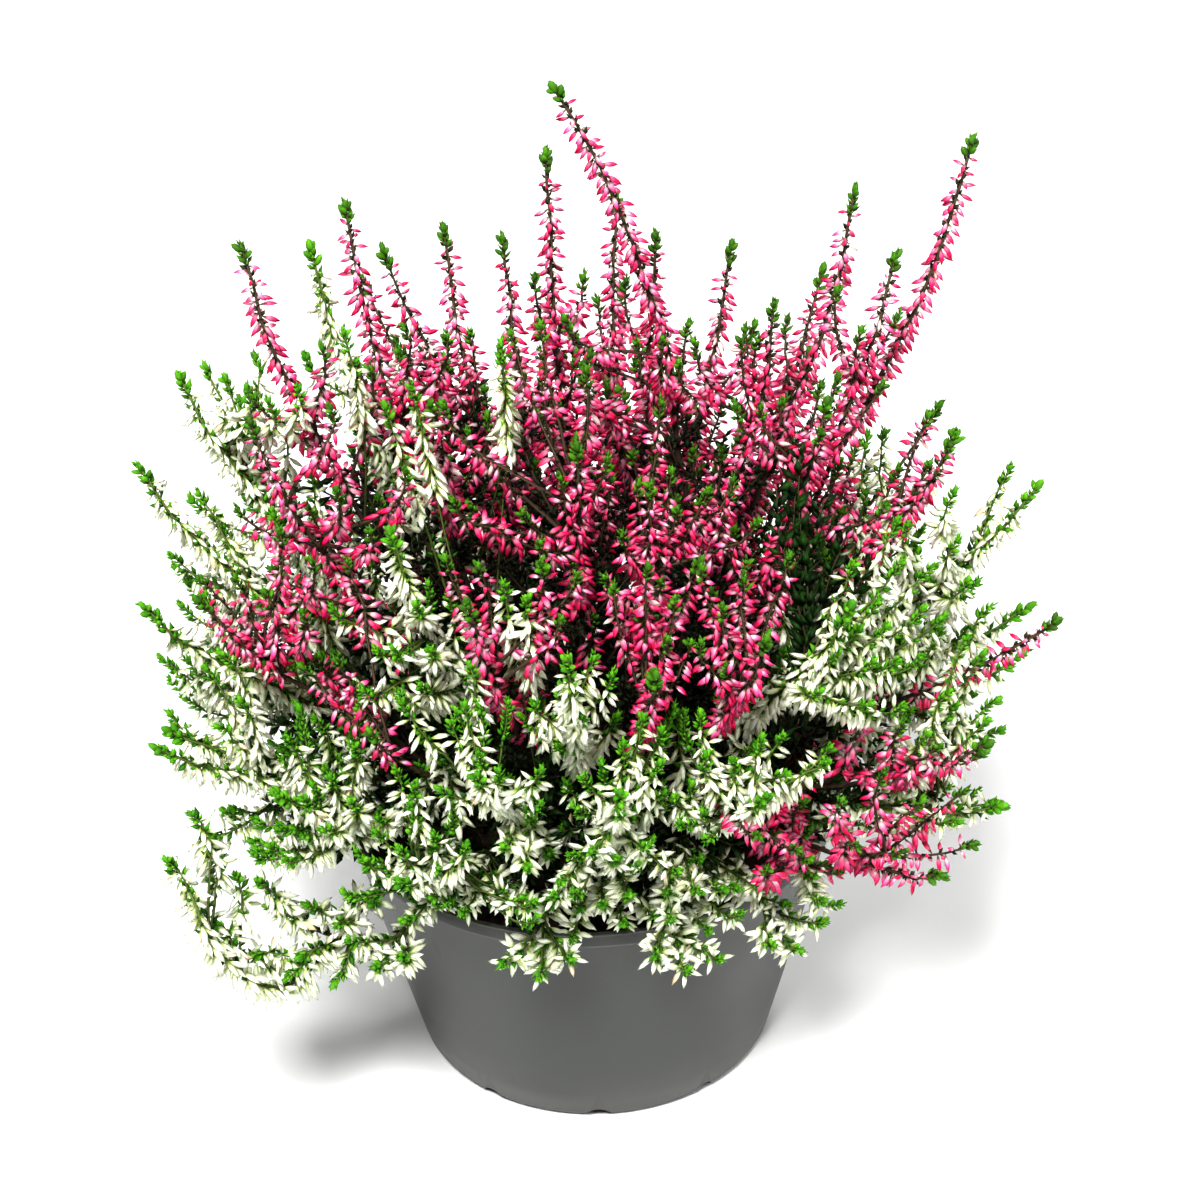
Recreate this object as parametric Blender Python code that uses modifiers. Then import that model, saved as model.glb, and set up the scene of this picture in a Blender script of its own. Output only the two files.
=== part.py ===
"""Potted heather: pink and white flowering heathers grown together in a round plastic bowl pot.

Metres, +Z up. The origin is the middle of the pot's base, where it stands, and the front of the
plant faces -Y. Azimuths are measured from +X, anticlockwise seen from above, so -90 is the front.
"""

import math

import bpy

MM = 0.001

# Pot
RIM_DIAMETER = 170 * MM
BASE_DIAMETER = 122 * MM
POT_HEIGHT = 98 * MM
WALL = 1.2 * MM
RIM_BAND_HEIGHT = 5.0 * MM
RIM_BAND_STEP = 1.0 * MM
RIM_EDGE = 0.4 * MM
FOOT_CORNER = 3.0 * MM
WALL_CROWN = 0.6 * MM
DRAIN_NOTCHES = 10
DRAIN_NOTCH_RADIUS = 4.2 * MM
DRAIN_NOTCH_RISE = 0.3 * MM
DRAIN_NOTCH_REACH = 16 * MM
DRAIN_NOTCH_SIDES = 16
FIRST_NOTCH_AZIMUTH = -90.0

# Peat
PEAT_TOP = 85 * MM
PEAT_EDGE = 3.0 * MM
GAP = 0.3 * MM

# Shoots: the woody stem, the flowering spike round it and the way it leaves the pot
STEM_RADIUS = 1.5 * MM
PINK_SPIKE_RADIUS = 7.0 * MM
WHITE_SPIKE_RADIUS = 8.0 * MM
TIP_SHARE = 0.32
FLOWERS_START = 0.26
FLOWERS_FULL = 0.52
FOOT_SHARE = 0.36
RISE_SHARE = 0.34
TIP_LIFT = math.radians(12)
TIP_SHARE_OF_LENGTH = 0.30
UPRIGHT_START = 3.0 * MM
SHOOT_POINTS = 9

# Fineness of the turned walls and of the shoots' round sections
TURN_STEPS = 48
MERGE_DISTANCE = 0.01 * MM
SHOOT_ROUNDNESS = 2

# The tallest pink shoot leans across the middle: x and y of its foot, then of its tip with the tip's
# height over the rim, in mm
LEANING_FOOT = (38, 27)
LEANING_TIP = (-5, 10, 253)
LEANING_RISE_SHARE = 0.42
LEANING_LIFT = math.radians(-20)

# Each standing shoot's tip: azimuth in degrees, reach from the pot's axis and height over its rim in mm
PINK_TIPS = (
    (98, 60, 207),
    (164, 74, 210),
    (186, 102, 213),
    (121, 84, 175),
    (105, 96, 160),
    (82, 102, 169),
    (66, 65, 177),
    (60, 105, 156),
    (5, 62, 180),
    (47, 122, 146),
    (24, 98, 201),
    (1, 99, 197),
    (10, 126, 226),
    (-5, 119, 140),
    (-15, 155, 88),
    (-36, 152, 76),
    (-43, 150, 35),
    (207, 133, 117),
    (197, 106, 163),
    (238, 124, 98),
    (253, 116, 147),
    (269, 52, 164),
    (289, 65, 156),
    (296, 122, 130),
    (280, 118, 123),
    (-22, 82, 164),
    (84, 150, 110),
    (124, 146, 95),
    (35, 152, 93),
)
WHITE_TIPS = (
    (155, 94, 186),
    (175, 128, 156),
    (184, 141, 135),
    (196, 145, 102),
    (204, 145, 67),
    (214, 160, 83),
    (0, 147, 113),
    (17, 131, 110),
    (-28, 149, 37),
    (-5, 145, 57),
    (235, 99, 153),
    (268, 131, 141),
    (244, 134, 52),
    (311, 121, 129),
    (274, 136, 95),
    (256, 135, 100),
    (293, 136, 85),
    (228, 142, 75),
    (65, 146, 37),
    (104, 150, 33),
    (147, 150, 45),
    (12, 155, 45),
)

# White shoots that lie over the rim and hang outside it: azimuth, then the (reach, height) pairs in mm
# that each passes on its way, the last one at its tip
WHITE_TRAILERS = (
    (222, ((82, 11), (104, -3), (134, -14), (157, 12), (166, 44))),
    (233, ((80, 11), (98, 1), (122, -17))),
    (261, ((78, 12), (97, 8), (110, -2))),
    (285, ((78, 13), (98, 9), (112, 0))),
    (305, ((78, 12), (97, 5), (114, -10))),
)


def material(name, colour, roughness):
    """A plain finish in one colour."""
    made = bpy.data.materials.new(name)
    made.use_nodes = True
    shader = made.node_tree.nodes["Principled BSDF"]
    shader.inputs["Base Color"].default_value = (*colour, 1.0)
    shader.inputs["Roughness"].default_value = roughness
    shader.inputs["Metallic"].default_value = 0.0
    return made


def pot_material():
    return material("pot_grey", (0.14, 0.14, 0.13), 0.5)


def peat_material():
    return material("peat_brown", (0.035, 0.022, 0.014), 0.95)


def pink_material():
    return material("pink_flowers", (0.62, 0.07, 0.20), 0.6)


def white_material():
    return material("white_flowers", (0.74, 0.76, 0.60), 0.6)


def new_collection(name):
    made = bpy.data.collections.new(name)
    bpy.context.scene.collection.children.link(made)
    return made


def turned(name, profile, collection, finish):
    """A solid of revolution about Z from its profile of (radius, height) points."""
    mesh = bpy.data.meshes.new(name)
    points = [(radius, 0.0, height) for radius, height in profile]
    edges = [(i, i + 1) for i in range(len(points) - 1)]
    mesh.from_pydata(points, edges, [])
    made = bpy.data.objects.new(name, mesh)
    collection.objects.link(made)
    screw = made.modifiers.new("turn", "SCREW")
    screw.steps = TURN_STEPS
    screw.render_steps = TURN_STEPS
    screw.use_merge_vertices = True
    screw.merge_threshold = MERGE_DISTANCE
    mesh.materials.append(finish)
    return made


def outer_radius(height):
    """The pot's outer wall, below the rim band: a cone that swells a little at mid-height."""
    share = height / POT_HEIGHT
    top = RIM_DIAMETER / 2 - RIM_BAND_STEP
    base = BASE_DIAMETER / 2
    return base + (top - base) * share + WALL_CROWN * 4 * share * (1 - share)


def foot_arc(radius, height, corner, points=3):
    """The rounded corner between wall and floor, from the wall down to the floor."""
    return [
        (
            radius - corner + corner * math.cos(turn * math.pi / 2 / points),
            height + corner - corner * math.sin(turn * math.pi / 2 / points),
        )
        for turn in range(1, points + 1)
    ]


def wall_heights(low, high, steps=5):
    """Evenly spaced heights up the wall, from high to low."""
    return [high + (low - high) * step / steps for step in range(steps + 1)]


def pot_profile():
    """From the axis at the floor's top, up the inside, over the rim and down the outer side."""
    rim = RIM_DIAMETER / 2
    band_bottom = POT_HEIGHT - RIM_BAND_HEIGHT
    inner_corner = FOOT_CORNER - WALL / 2
    outer = [
        (rim - RIM_EDGE, POT_HEIGHT),
        (rim, POT_HEIGHT - RIM_EDGE),
        (rim, band_bottom),
    ]
    outer += [(outer_radius(z), z) for z in wall_heights(FOOT_CORNER, band_bottom - RIM_EDGE)]
    outer += foot_arc(outer_radius(0), 0.0, FOOT_CORNER)
    outer.append((0.0, 0.0))
    inner = [(outer_radius(z) - WALL, z) for z in wall_heights(WALL + inner_corner, POT_HEIGHT - RIM_EDGE)]
    inner += foot_arc(outer_radius(WALL) - WALL, WALL, inner_corner)
    inner.append((0.0, WALL))
    lip = [(outer_radius(POT_HEIGHT) - WALL + RIM_EDGE, POT_HEIGHT)]
    return inner[::-1] + lip + outer


def drain_notch(index, cutters):
    """A round-topped cutter that lies across the corner between wall and base."""
    azimuth = math.radians(FIRST_NOTCH_AZIMUTH + 360 * index / DRAIN_NOTCHES)
    middle = BASE_DIAMETER / 2
    bpy.ops.mesh.primitive_cylinder_add(
        vertices=DRAIN_NOTCH_SIDES,
        radius=DRAIN_NOTCH_RADIUS,
        depth=DRAIN_NOTCH_REACH,
        location=(middle * math.cos(azimuth), middle * math.sin(azimuth), DRAIN_NOTCH_RISE),
        rotation=(0.0, math.pi / 2, azimuth),
    )
    made = bpy.context.object
    made.name = f"drain_notch_cutter_{index + 1}"
    made.hide_render = True
    made.display_type = "WIRE"
    for home in list(made.users_collection):
        home.objects.unlink(made)
    cutters.objects.link(made)
    return made


def build_pot(parts, cutters):
    """The bowl pot with its rim band, and drainage notches cut round the base's corner."""
    pot = turned("pot", pot_profile(), parts, pot_material())
    for index in range(DRAIN_NOTCHES):
        cut = pot.modifiers.new(f"drain_{index + 1}", "BOOLEAN")
        cut.operation = "DIFFERENCE"
        cut.solver = "EXACT"
        cut.object = drain_notch(index, cutters)
    return pot


def build_peat(parts):
    """The peat that fills the pot to a little under its rim, clear of wall and floor by the gap."""
    inset = WALL + GAP
    corner = FOOT_CORNER
    top_radius = outer_radius(PEAT_TOP) - inset
    profile = [(0.0, PEAT_TOP), (top_radius - PEAT_EDGE, PEAT_TOP)]
    profile += [(outer_radius(z) - inset, z) for z in wall_heights(inset + corner, PEAT_TOP - PEAT_EDGE)]
    profile += foot_arc(outer_radius(inset) - inset, inset, corner)
    profile.append((0.0, inset))
    return turned("peat", profile, parts, peat_material())


def cubic(start, first, second, end, share):
    """A point on the cubic curve through start and end that leans on the two points between."""
    rest = 1 - share
    weights = (rest**3, 3 * rest * rest * share, 3 * rest * share * share, share**3)
    return tuple(
        sum(weight * point[axis] for weight, point in zip(weights, (start, first, second, end)))
        for axis in range(2)
    )


def foot_of(reach):
    """Where a shoot leans off, just over the peat. Feet share out the peat as the tips do the crown."""
    return (FOOT_SHARE * reach, PEAT_TOP + GAP + UPRIGHT_START)


def in_plane(azimuth, flat, origin=(0.0, 0.0)):
    """Places for (reach, height) pairs in the upright plane of an azimuth in degrees."""
    turn = math.radians(azimuth)
    return [
        (origin[0] + out * math.cos(turn), origin[1] + out * math.sin(turn), up)
        for out, up in flat
    ]


def standing_curve(foot, tip, rise_share, lift):
    """The (reach, height) points of a shoot that stands up, leans out and turns its tip by lift."""
    length = math.dist(foot, tip)
    slope = math.atan2(tip[1] - foot[1], tip[0] - foot[0]) + lift
    slope = min(slope, math.pi / 2)
    rise = (foot[0], foot[1] + rise_share * length)
    before_tip = (
        tip[0] - TIP_SHARE_OF_LENGTH * length * math.cos(slope),
        tip[1] - TIP_SHARE_OF_LENGTH * length * math.sin(slope),
    )
    flat = [(foot[0], foot[1] - UPRIGHT_START)]
    flat += [cubic(foot, rise, before_tip, tip, i / (SHOOT_POINTS - 2)) for i in range(SHOOT_POINTS - 1)]
    return flat


def standing_route(azimuth, reach, height):
    """The points of a shoot that leans straight out from the pot's axis and lifts its tip again."""
    return in_plane(azimuth, standing_curve(foot_of(reach), (reach, height), RISE_SHARE, TIP_LIFT))


def leaning_route():
    """The points of the tallest shoot, which leans from its foot on one side over to the other."""
    origin = tuple(place * MM for place in LEANING_FOOT)
    across = [tip * MM - start for tip, start in zip(LEANING_TIP, origin)]
    foot = (0.0, foot_of(0.0)[1])
    tip = (math.hypot(*across), POT_HEIGHT + LEANING_TIP[2] * MM)
    flat = standing_curve(foot, tip, LEANING_RISE_SHARE, LEANING_LIFT)
    return in_plane(math.degrees(math.atan2(across[1], across[0])), flat, origin)


def trailing_route(azimuth, passes):
    """The points of a shoot that lies over the rim: a smooth curve through the places it passes."""
    passes = [(out * MM, POT_HEIGHT + up * MM) for out, up in passes]
    foot = foot_of(passes[-1][0])
    stops = [(foot[0], foot[1] - UPRIGHT_START), foot, *passes]
    ends = [stops[0], *stops, stops[-1]]
    flat = []
    for before, start, end, after in zip(ends, ends[1:], ends[2:], ends[3:]):
        lean_in = (start[0] + (end[0] - before[0]) / 6, start[1] + (end[1] - before[1]) / 6)
        lean_out = (end[0] - (after[0] - start[0]) / 6, end[1] - (after[1] - start[1]) / 6)
        flat += [cubic(start, lean_in, lean_out, end, share) for share in (0.0, 0.5)]
    return in_plane(azimuth, [*flat[:1], *flat[2:], stops[-1]])


def spike_radius(share, full):
    """How far the flowers stand out from the stem's middle, share of the way to the tip."""
    if share <= FLOWERS_START:
        return STEM_RADIUS
    if share < FLOWERS_FULL:
        swell = (share - FLOWERS_START) / (FLOWERS_FULL - FLOWERS_START)
        return STEM_RADIUS + (full - STEM_RADIUS) * swell
    taper = (share - FLOWERS_FULL) / (1 - FLOWERS_FULL)
    return full * (1 - (1 - TIP_SHARE) * taper * taper)


def build_shoot(name, route, full, parts, finish):
    """One shoot as a tapered tube: a thin stem that widens into its flowering spike."""
    curve = bpy.data.curves.new(name, "CURVE")
    curve.dimensions = "3D"
    curve.bevel_depth = full
    curve.bevel_resolution = SHOOT_ROUNDNESS
    curve.use_fill_caps = True
    spline = curve.splines.new("POLY")
    spline.points.add(len(route) - 1)
    for index, (point, place) in enumerate(zip(spline.points, route)):
        point.co = (*place, 1.0)
        point.radius = spike_radius(index / (len(route) - 1), full) / full
    curve.materials.append(finish)
    made = bpy.data.objects.new(name, curve)
    parts.objects.link(made)
    return made


def standing_routes(tips):
    """The routes of the standing shoots whose tips are given over the rim."""
    return [
        standing_route(azimuth, reach * MM, POT_HEIGHT + over * MM)
        for azimuth, reach, over in tips
    ]


def pink_routes():
    """The tallest shoot first, then the others."""
    return [leaning_route(), *standing_routes(PINK_TIPS)]


def white_routes():
    """The standing shoots first, then those that lie over the rim."""
    trailing = [trailing_route(azimuth, passes) for azimuth, passes in WHITE_TRAILERS]
    return standing_routes(WHITE_TIPS) + trailing


def build_shoots(colour, routes, full, parts, finish):
    """All the shoots of one colour, numbered from 1."""
    for number, route in enumerate(routes, start=1):
        build_shoot(f"{colour}_shoot_{number:02d}", route, full, parts, finish)


def build():
    """The whole part: pot, peat and shoots, with the notch cutters kept apart from them."""
    for old in list(bpy.data.objects):
        bpy.data.objects.remove(old, do_unlink=True)
    parts = new_collection("potted_heather")
    cutters = new_collection("cutters")
    build_pot(parts, cutters)
    build_peat(parts)
    build_shoots("pink", pink_routes(), PINK_SPIKE_RADIUS, parts, pink_material())
    build_shoots("white", white_routes(), WHITE_SPIKE_RADIUS, parts, white_material())


build()
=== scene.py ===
"""The looks of a potted heather: pink and white heathers grown together in a grey plastic bowl pot.

Everything is in metres with +Z up. The origin is the middle of the pot's base and the front of the
plant faces -Y. The shoots follow the same routes as the solids that they replace, and carry the
side twigs, leaves and flower buds that those solids leave out.
"""

import logging
import math
from dataclasses import dataclass
from enum import Enum
from typing import Mapping, Sequence, Union

import bpy
import numpy as np
from mathutils import Matrix, Vector


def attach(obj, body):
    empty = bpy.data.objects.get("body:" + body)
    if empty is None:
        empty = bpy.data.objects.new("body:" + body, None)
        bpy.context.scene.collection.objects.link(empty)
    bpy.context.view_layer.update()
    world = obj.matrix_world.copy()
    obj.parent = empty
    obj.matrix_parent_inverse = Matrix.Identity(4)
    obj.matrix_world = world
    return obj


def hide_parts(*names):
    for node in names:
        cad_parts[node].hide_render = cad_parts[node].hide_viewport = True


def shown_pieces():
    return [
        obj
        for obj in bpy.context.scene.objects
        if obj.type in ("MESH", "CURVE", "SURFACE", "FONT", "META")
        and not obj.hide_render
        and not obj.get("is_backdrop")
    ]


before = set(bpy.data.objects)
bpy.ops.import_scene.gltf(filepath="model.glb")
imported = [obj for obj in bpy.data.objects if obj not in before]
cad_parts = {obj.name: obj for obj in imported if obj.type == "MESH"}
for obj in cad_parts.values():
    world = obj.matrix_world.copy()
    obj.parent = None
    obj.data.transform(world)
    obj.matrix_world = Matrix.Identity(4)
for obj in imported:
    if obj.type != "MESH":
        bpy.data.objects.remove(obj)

LOG = logging.getLogger("potted_heather")

MM = 0.001
BODY = "root"
SURFACE_MAP = "OFBake"
GOLDEN_TURN = math.pi * (3 - math.sqrt(5))
ANY_TURN = (0.0, 6.28)
DOWN = np.array((0.0, 0.0, -1.0))

Colour = tuple[float, float, float]
Point = tuple[float, float, float]
Pair = tuple[float, float]
Term = Union["Value", float]
Array = np.ndarray
Chance = np.random.Generator
Piece = bpy.types.Object
Finish = bpy.types.Material
Socket = bpy.types.NodeSocket

BLACK: Colour = (0.0, 0.0, 0.0)


class Bloom(Enum):
    """The two heathers in the pot."""

    PINK = "pink"
    WHITE = "white"


# Sizes that the shoots share with the solids they replace
POT_HEIGHT = 98 * MM
PEAT_TOP = 85 * MM
GAP = 0.3 * MM
FOOT_SHARE = 0.36
RISE_SHARE = 0.34
TIP_LIFT = math.radians(12)
TIP_SHARE_OF_LENGTH = 0.30
UPRIGHT_START = 3.0 * MM
SHOOT_POINTS = 9

# The tallest pink shoot leans across the middle: x and y of its foot, then of its tip with the
# tip's height over the rim, in mm
LEANING_FOOT = (38, 27)
LEANING_TIP = (-5, 10, 253)
LEANING_RISE_SHARE = 0.42
LEANING_LIFT = math.radians(-20)

# fmt: off
# Each standing shoot's tip: azimuth in degrees from +X, then reach from the axis and height over
# the rim in mm
PINK_TIPS = (
    (98, 60, 207), (164, 74, 210), (186, 102, 213), (121, 84, 175), (105, 96, 160),
    (82, 102, 169), (66, 65, 177), (60, 105, 156), (5, 62, 180), (47, 122, 146),
    (24, 98, 201), (1, 99, 197), (10, 126, 226), (-5, 119, 140), (-15, 155, 88),
    (-36, 152, 76), (-43, 150, 35), (207, 133, 117), (197, 106, 163), (238, 124, 98),
    (253, 116, 147), (269, 52, 164), (289, 65, 156), (296, 122, 130), (280, 118, 123),
    (-22, 82, 164), (84, 150, 110), (124, 146, 95), (35, 152, 93),
)
WHITE_TIPS = (
    (155, 94, 186), (175, 128, 156), (184, 141, 135), (196, 145, 102), (204, 145, 67),
    (214, 160, 83), (0, 147, 113), (17, 131, 110), (-28, 149, 37), (-5, 145, 57),
    (235, 99, 153), (268, 131, 141), (244, 134, 52), (311, 121, 129), (274, 136, 95),
    (256, 135, 100), (293, 136, 85), (228, 142, 75), (65, 146, 37), (104, 150, 33),
    (147, 150, 45), (12, 155, 45),
)

# White shoots that lie over the rim: azimuth, then the (reach, height) pairs in mm that each passes
WHITE_TRAILERS = (
    (222, ((82, 11), (104, -3), (134, -14), (157, 12), (166, 44))),
    (233, ((80, 11), (98, 1), (122, -17))),
    (261, ((78, 12), (97, 8), (110, -2))),
    (285, ((78, 13), (98, 9), (112, 0))),
    (305, ((78, 12), (97, 5), (114, -10))),
)

# Tall side shoots whose tips stand clear of the crown: x, y and z of the tip in mm, and how much it
# turns up
PINK_TALL_TIPS = (
    (-63, 60, 271, 0.4), (-73, 90, 245, 0.4), (-12, -90, 245, 0.4), (35, -80, 237, 0.4),
    (-46, -20, 260, 0.4),
)
# Side shoots on the front of the crown, the same way
PINK_FRONT_TIPS = (
    (-78, -25, 283, 0.6), (-75, -43, 272, 0.7), (-102, -15, 261, 0.6), (-74, -60, 253, 0.8),
    (-105, -49, 240, 0.5), (-93, -61, 240, 0.8), (-120, -43, 212, 0.5), (-108, -53, 219, 0.6),
    (-98, -63, 220, 0.6), (-42, -40, 270, 0.9), (-53, -58, 258, 1.0), (-11, -23, 288, 0.9),
    (-20, -25, 287, 0.9), (3, -31, 276, 1.0), (-1, -47, 261, 1.0), (-6, -52, 251, 1.1),
    (8, -55, 258, 1.1), (18, -53, 249, 1.1), (25, -37, 268, 1.0), (31, -24, 274, 1.0),
    (36, -18, 278, 0.9), (28, -49, 250, 1.1), (39, -54, 246, 1.1), (47, -48, 246, 1.1),
    (48, -34, 264, 1.0), (56, -33, 262, 1.0), (63, -31, 263, 1.0), (80, -26, 268, 0.9),
    (94, -24, 265, 0.7), (81, 1, 284, 0.8), (88, -10, 275, 0.7), (101, 2, 275, 0.6),
    (-12, -76, 243, 1.2), (-2, -90, 240, 1.2), (29, -61, 244, 1.2), (23, -87, 235, 1.3),
    (-30, -87, 242, 0.3), (-41, -83, 242, 0.3), (39, -85, 230, 1.3), (55, -92, 218, 1.2),
    (-17, -66, 248, 1.2), (31, -102, 223, 1.2), (17, -96, 231, 1.3), (12, -71, 243, 1.2),
    (-39, -61, 249, 1.1), (-64, -67, 243, 1.0), (-83, -61, 229, 0.8), (-71, -72, 236, 0.9),
    (-86, -73, 219, 0.8), (-86, -80, 202, 0.7), (-76, -83, 207, 0.7), (54, -62, 240, 1.1),
    (74, -39, 257, 0.9), (49, -74, 233, 1.2), (63, -71, 232, 0.9),
    (94, -51, 237, 0.5), (-7, -102, 232, 1.0), (43, -101, 215, 1.1), (19, -109, 218, 1.1),
    (97, -87, 181, 0.9), (109, -83, 169, 0.8), (125, -65, 153, 0.6), (90, -100, 171, 0.9),
    (104, -91, 154, 0.6), (121, -81, 128, 0.5), (97, -101, 142, 0.4), (82, -114, 155, 0.3),
    (63, -123, 160, 0.2), (51, -127, 169, 0.3), (77, -115, 173, 0.6), (118, -80, 149, 0.6),
    (9, -100, 242, 1.1), (19, -98, 247, 1.1), (27, -103, 239, 1.1), (35, -96, 246, 1.1),
    (41, -100, 234, 1.1), (24, -108, 229, 1.1), (48, -92, 238, 1.1), (34, -106, 226, 1.1),
)
WHITE_FRONT_TIPS = (
    (-121, 29, 246, 0.6), (-113, 11, 252, 0.6), (-104, -10, 260, 0.6), (-95, -29, 267, 0.7),
    (-86, -31, 273, 0.8), (-50, -90, 231, 1.2), (-77, -75, 221, 0.9), (-46, -98, 220, 1.2),
    (-34, -108, 220, 1.3), (2, -111, 225, 1.3), (8, -113, 220, 1.3), (-7, -119, 219, 1.3),
    (-15, -120, 215, 1.3), (-1, -120, 210, 1.2), (-36, -114, 211, 1.3), (-32, -122, 199, 1.3),
    (-58, -105, 181, 1.2), (-53, -110, 179, 1.2), (-44, -118, 183, 1.2), (-71, -95, 184, 1.0),
    (-68, -94, 203, 1.0), (-63, -90, 215, 1.1), (-92, -91, 185, 0.8), (-79, -99, 175, 0.9),
    (-107, -76, 188, 0.7), (-112, -62, 197, 0.6), (-118, -61, 190, 0.6), (-115, -75, 178, 0.5),
    (11, -123, 201, 1.2), (17, -118, 208, 1.2), (34, -112, 203, 1.0), (35, -118, 193, 1.1),
    (52, -113, 195, 1.1), (21, -124, 195, 1.2), (44, -117, 190, 1.1), (-1, -128, 194, 1.2),
    (-14, -127, 196, 1.2), (-26, -127, 196, 1.2), (60, -116, 183, 0.0), (73, -110, 184, 0.3),
    (83, -66, 227, 0.8), (90, -70, 215, 0.8), (84, -78, 210, 0.8), (99, -57, 221, 0.7),
    (118, -22, 224, 0.7), (140, 12, 210, 0.6), (105, -64, 207, 0.6), (77, -88, 209, 0.8),
    (96, -81, 200, 0.6), (126, -46, 177, 0.6), (131, -49, 162, 0.5), (113, -72, 182, 0.6),
    (97, -88, 188, 0.6), (86, -94, 194, 0.7), (70, -99, 202, 0.8), (131, -62, 131, 0.4),
    (116, -84, 140, 0.3), (-88, -103, 169, 0.6), (-97, -97, 169, 0.5), (-82, -105, 159, 0.5),
    (-73, -104, 169, 0.9), (-65, -111, 163, 1.0), (-58, -116, 159, 1.0), (-48, -111, 161, 1.1),
    (-38, -117, 161, 1.1), (-70, -113, 153, 0.9), (-40, -114, 205, 1.2), (-55, -103, 205, 1.1),
    (-26, -121, 164, 1.0), (-20, -130, 161, 0.3), (-9, -122, 151, 0.5), (9, -133, 184, 1.1),
    (18, -127, 167, 1.0), (27, -132, 161, 0.9), (0, -133, 170, 1.0), (12, -114, 138, 0.7),
    (33, -109, 135, 0.7), (47, -94, 123, 0.4), (-7, -99, 108, 0.6), (10, -103, 117, 0.7),
    (21, -102, 119, 0.7), (38, -94, 106, 0.7), (31, -96, 104, 1.0), (63, -87, 111, 0.7),
    (74, -89, 114, 0.7), (80, -72, 98, 0.8), (3, -106, 128, 0.8), (-50, -106, 133, 0.8),
    (-41, -104, 125, 0.6), (-28, -107, 130, 0.5), (108, -50, 214, 0.8), (112, -58, 200, 0.7),
    (104, -72, 195, 0.8), (120, -55, 190, 0.7), (92, -74, 208, 0.9), (122, -38, 200, 0.7),
    (116, -66, 172, 0.6), (106, -80, 172, 0.6), (130, -30, 185, 0.6), (88, -84, 202, 0.9),
    (126, -60, 160, 0.5), (118, -32, 212, 0.8),
)
# White side shoots that stand alone among the pink ones
LONE_WHITE_TIPS = (
    (-24, -10, 272, 0.4), (-59, -42, 272, 0.6), (-51, -36, 275, 0.8), (-23, -28, 285, 0.9),
    (-71, -22, 287, 0.9), (-23, -93, 240, 1.2), (-17, -99, 237, 1.2), (-58, -68, 243, 1.2),
    (97, -54, 233, 0.6),
)
# Green side shoots in the hollow between the pink and the white on the right
HOLLOW_TIPS = (
    (66, -42, 236, 0.6), (75, -38, 230, 0.5), (60, -46, 240, 0.8), (82, -44, 222, 0.4),
    (70, -50, 222, 0.5), (68, -34, 246, 0.9), (88, -52, 214, 0.3),
)
# White side shoots along the long one that lies over the rim on the left
TRAILER_TIPS = (
    (-71, -72, 104, 0.8), (-79, -76, 109, 0.8), (-91, -80, 110, 0.8), (-82, -86, 107, 0.5),
    (-102, -84, 114, 0.8), (-106, -84, 124, 0.9), (-113, -88, 129, 0.9), (-119, -92, 148, 0.9),
    (-131, -100, 145, 0.8), (-127, -98, 126, 0.4), (-118, -98, 117, 0.3), (-109, -92, 100, 0.2),
    (-115, -95, 101, 0.1), (-94, -88, 96, 0.2), (-99, -92, 90, -0.2), (-84, -85, 81, -0.3),
    (-74, -80, 88, 0.1), (-123, -96, 159, 0.7),
)
# White side shoots over the ends of the short ones that lie over the rim in front
SKIRT_TIPS = (
    (-70, -97, 98, 0.9), (-61, -101, 105, 1.0), (-78, -90, 104, 0.9), (-17, -111, 104, 0.8),
    (-28, -108, 107, 1.0), (-7, -110, 110, 1.0), (29, -111, 104, 0.8), (19, -110, 109, 1.0),
    (40, -106, 105, 0.9), (66, -95, 98, 0.7), (57, -100, 105, 0.9), (74, -87, 103, 0.8),
)
# fmt: on


class Value:
    """A number that varies over a surface: a socket that Python expressions can use."""

    def __init__(self, recipe: "Recipe", socket: Socket) -> None:
        """Keeps the recipe that the socket belongs to."""
        self.recipe = recipe
        self.socket = socket

    def _maths(self, operation: str, *terms: Term, held: bool = False) -> "Value":
        """Adds one Math node.

        Args:
            operation: What the node does.
            terms: Its inputs in order, numbers or other values.
            held: Whether the result is kept between 0 and 1.

        Returns:
            The node's result.
        """
        settings = {"operation": operation, "use_clamp": held}
        node = self.recipe.node("ShaderNodeMath", settings, dict(enumerate(terms)))
        return Value(self.recipe, node.outputs[0])

    def __add__(self, other: Term) -> "Value":
        """Sum."""
        return self._maths("ADD", self, other)

    __radd__ = __add__

    def __sub__(self, other: Term) -> "Value":
        """Difference."""
        return self._maths("SUBTRACT", self, other)

    def __rsub__(self, other: Term) -> "Value":
        """Difference, with the number first."""
        return self._maths("SUBTRACT", other, self)

    def __mul__(self, other: Term) -> "Value":
        """Product."""
        return self._maths("MULTIPLY", self, other)

    __rmul__ = __mul__

    def held(self) -> "Value":
        """The value kept between 0 and 1."""
        return self._maths("ADD", self, 0.0, held=True)

    def wrapped(self) -> "Value":
        """The part after the point."""
        return self._maths("FRACT", self)

    def step(self, low: float, high: float) -> "Value":
        """A soft step over the value.

        Args:
            low: Where the step is still 0.
            high: Where it has reached 1.

        Returns:
            0 under low, 1 over high and a smooth rise between.
        """
        settings = {"interpolation_type": "SMOOTHSTEP"}
        inputs = {"Value": self, "From Min": low, "From Max": high}
        node = self.recipe.node("ShaderNodeMapRange", settings, inputs)
        return Value(self.recipe, node.outputs["Result"])


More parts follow.
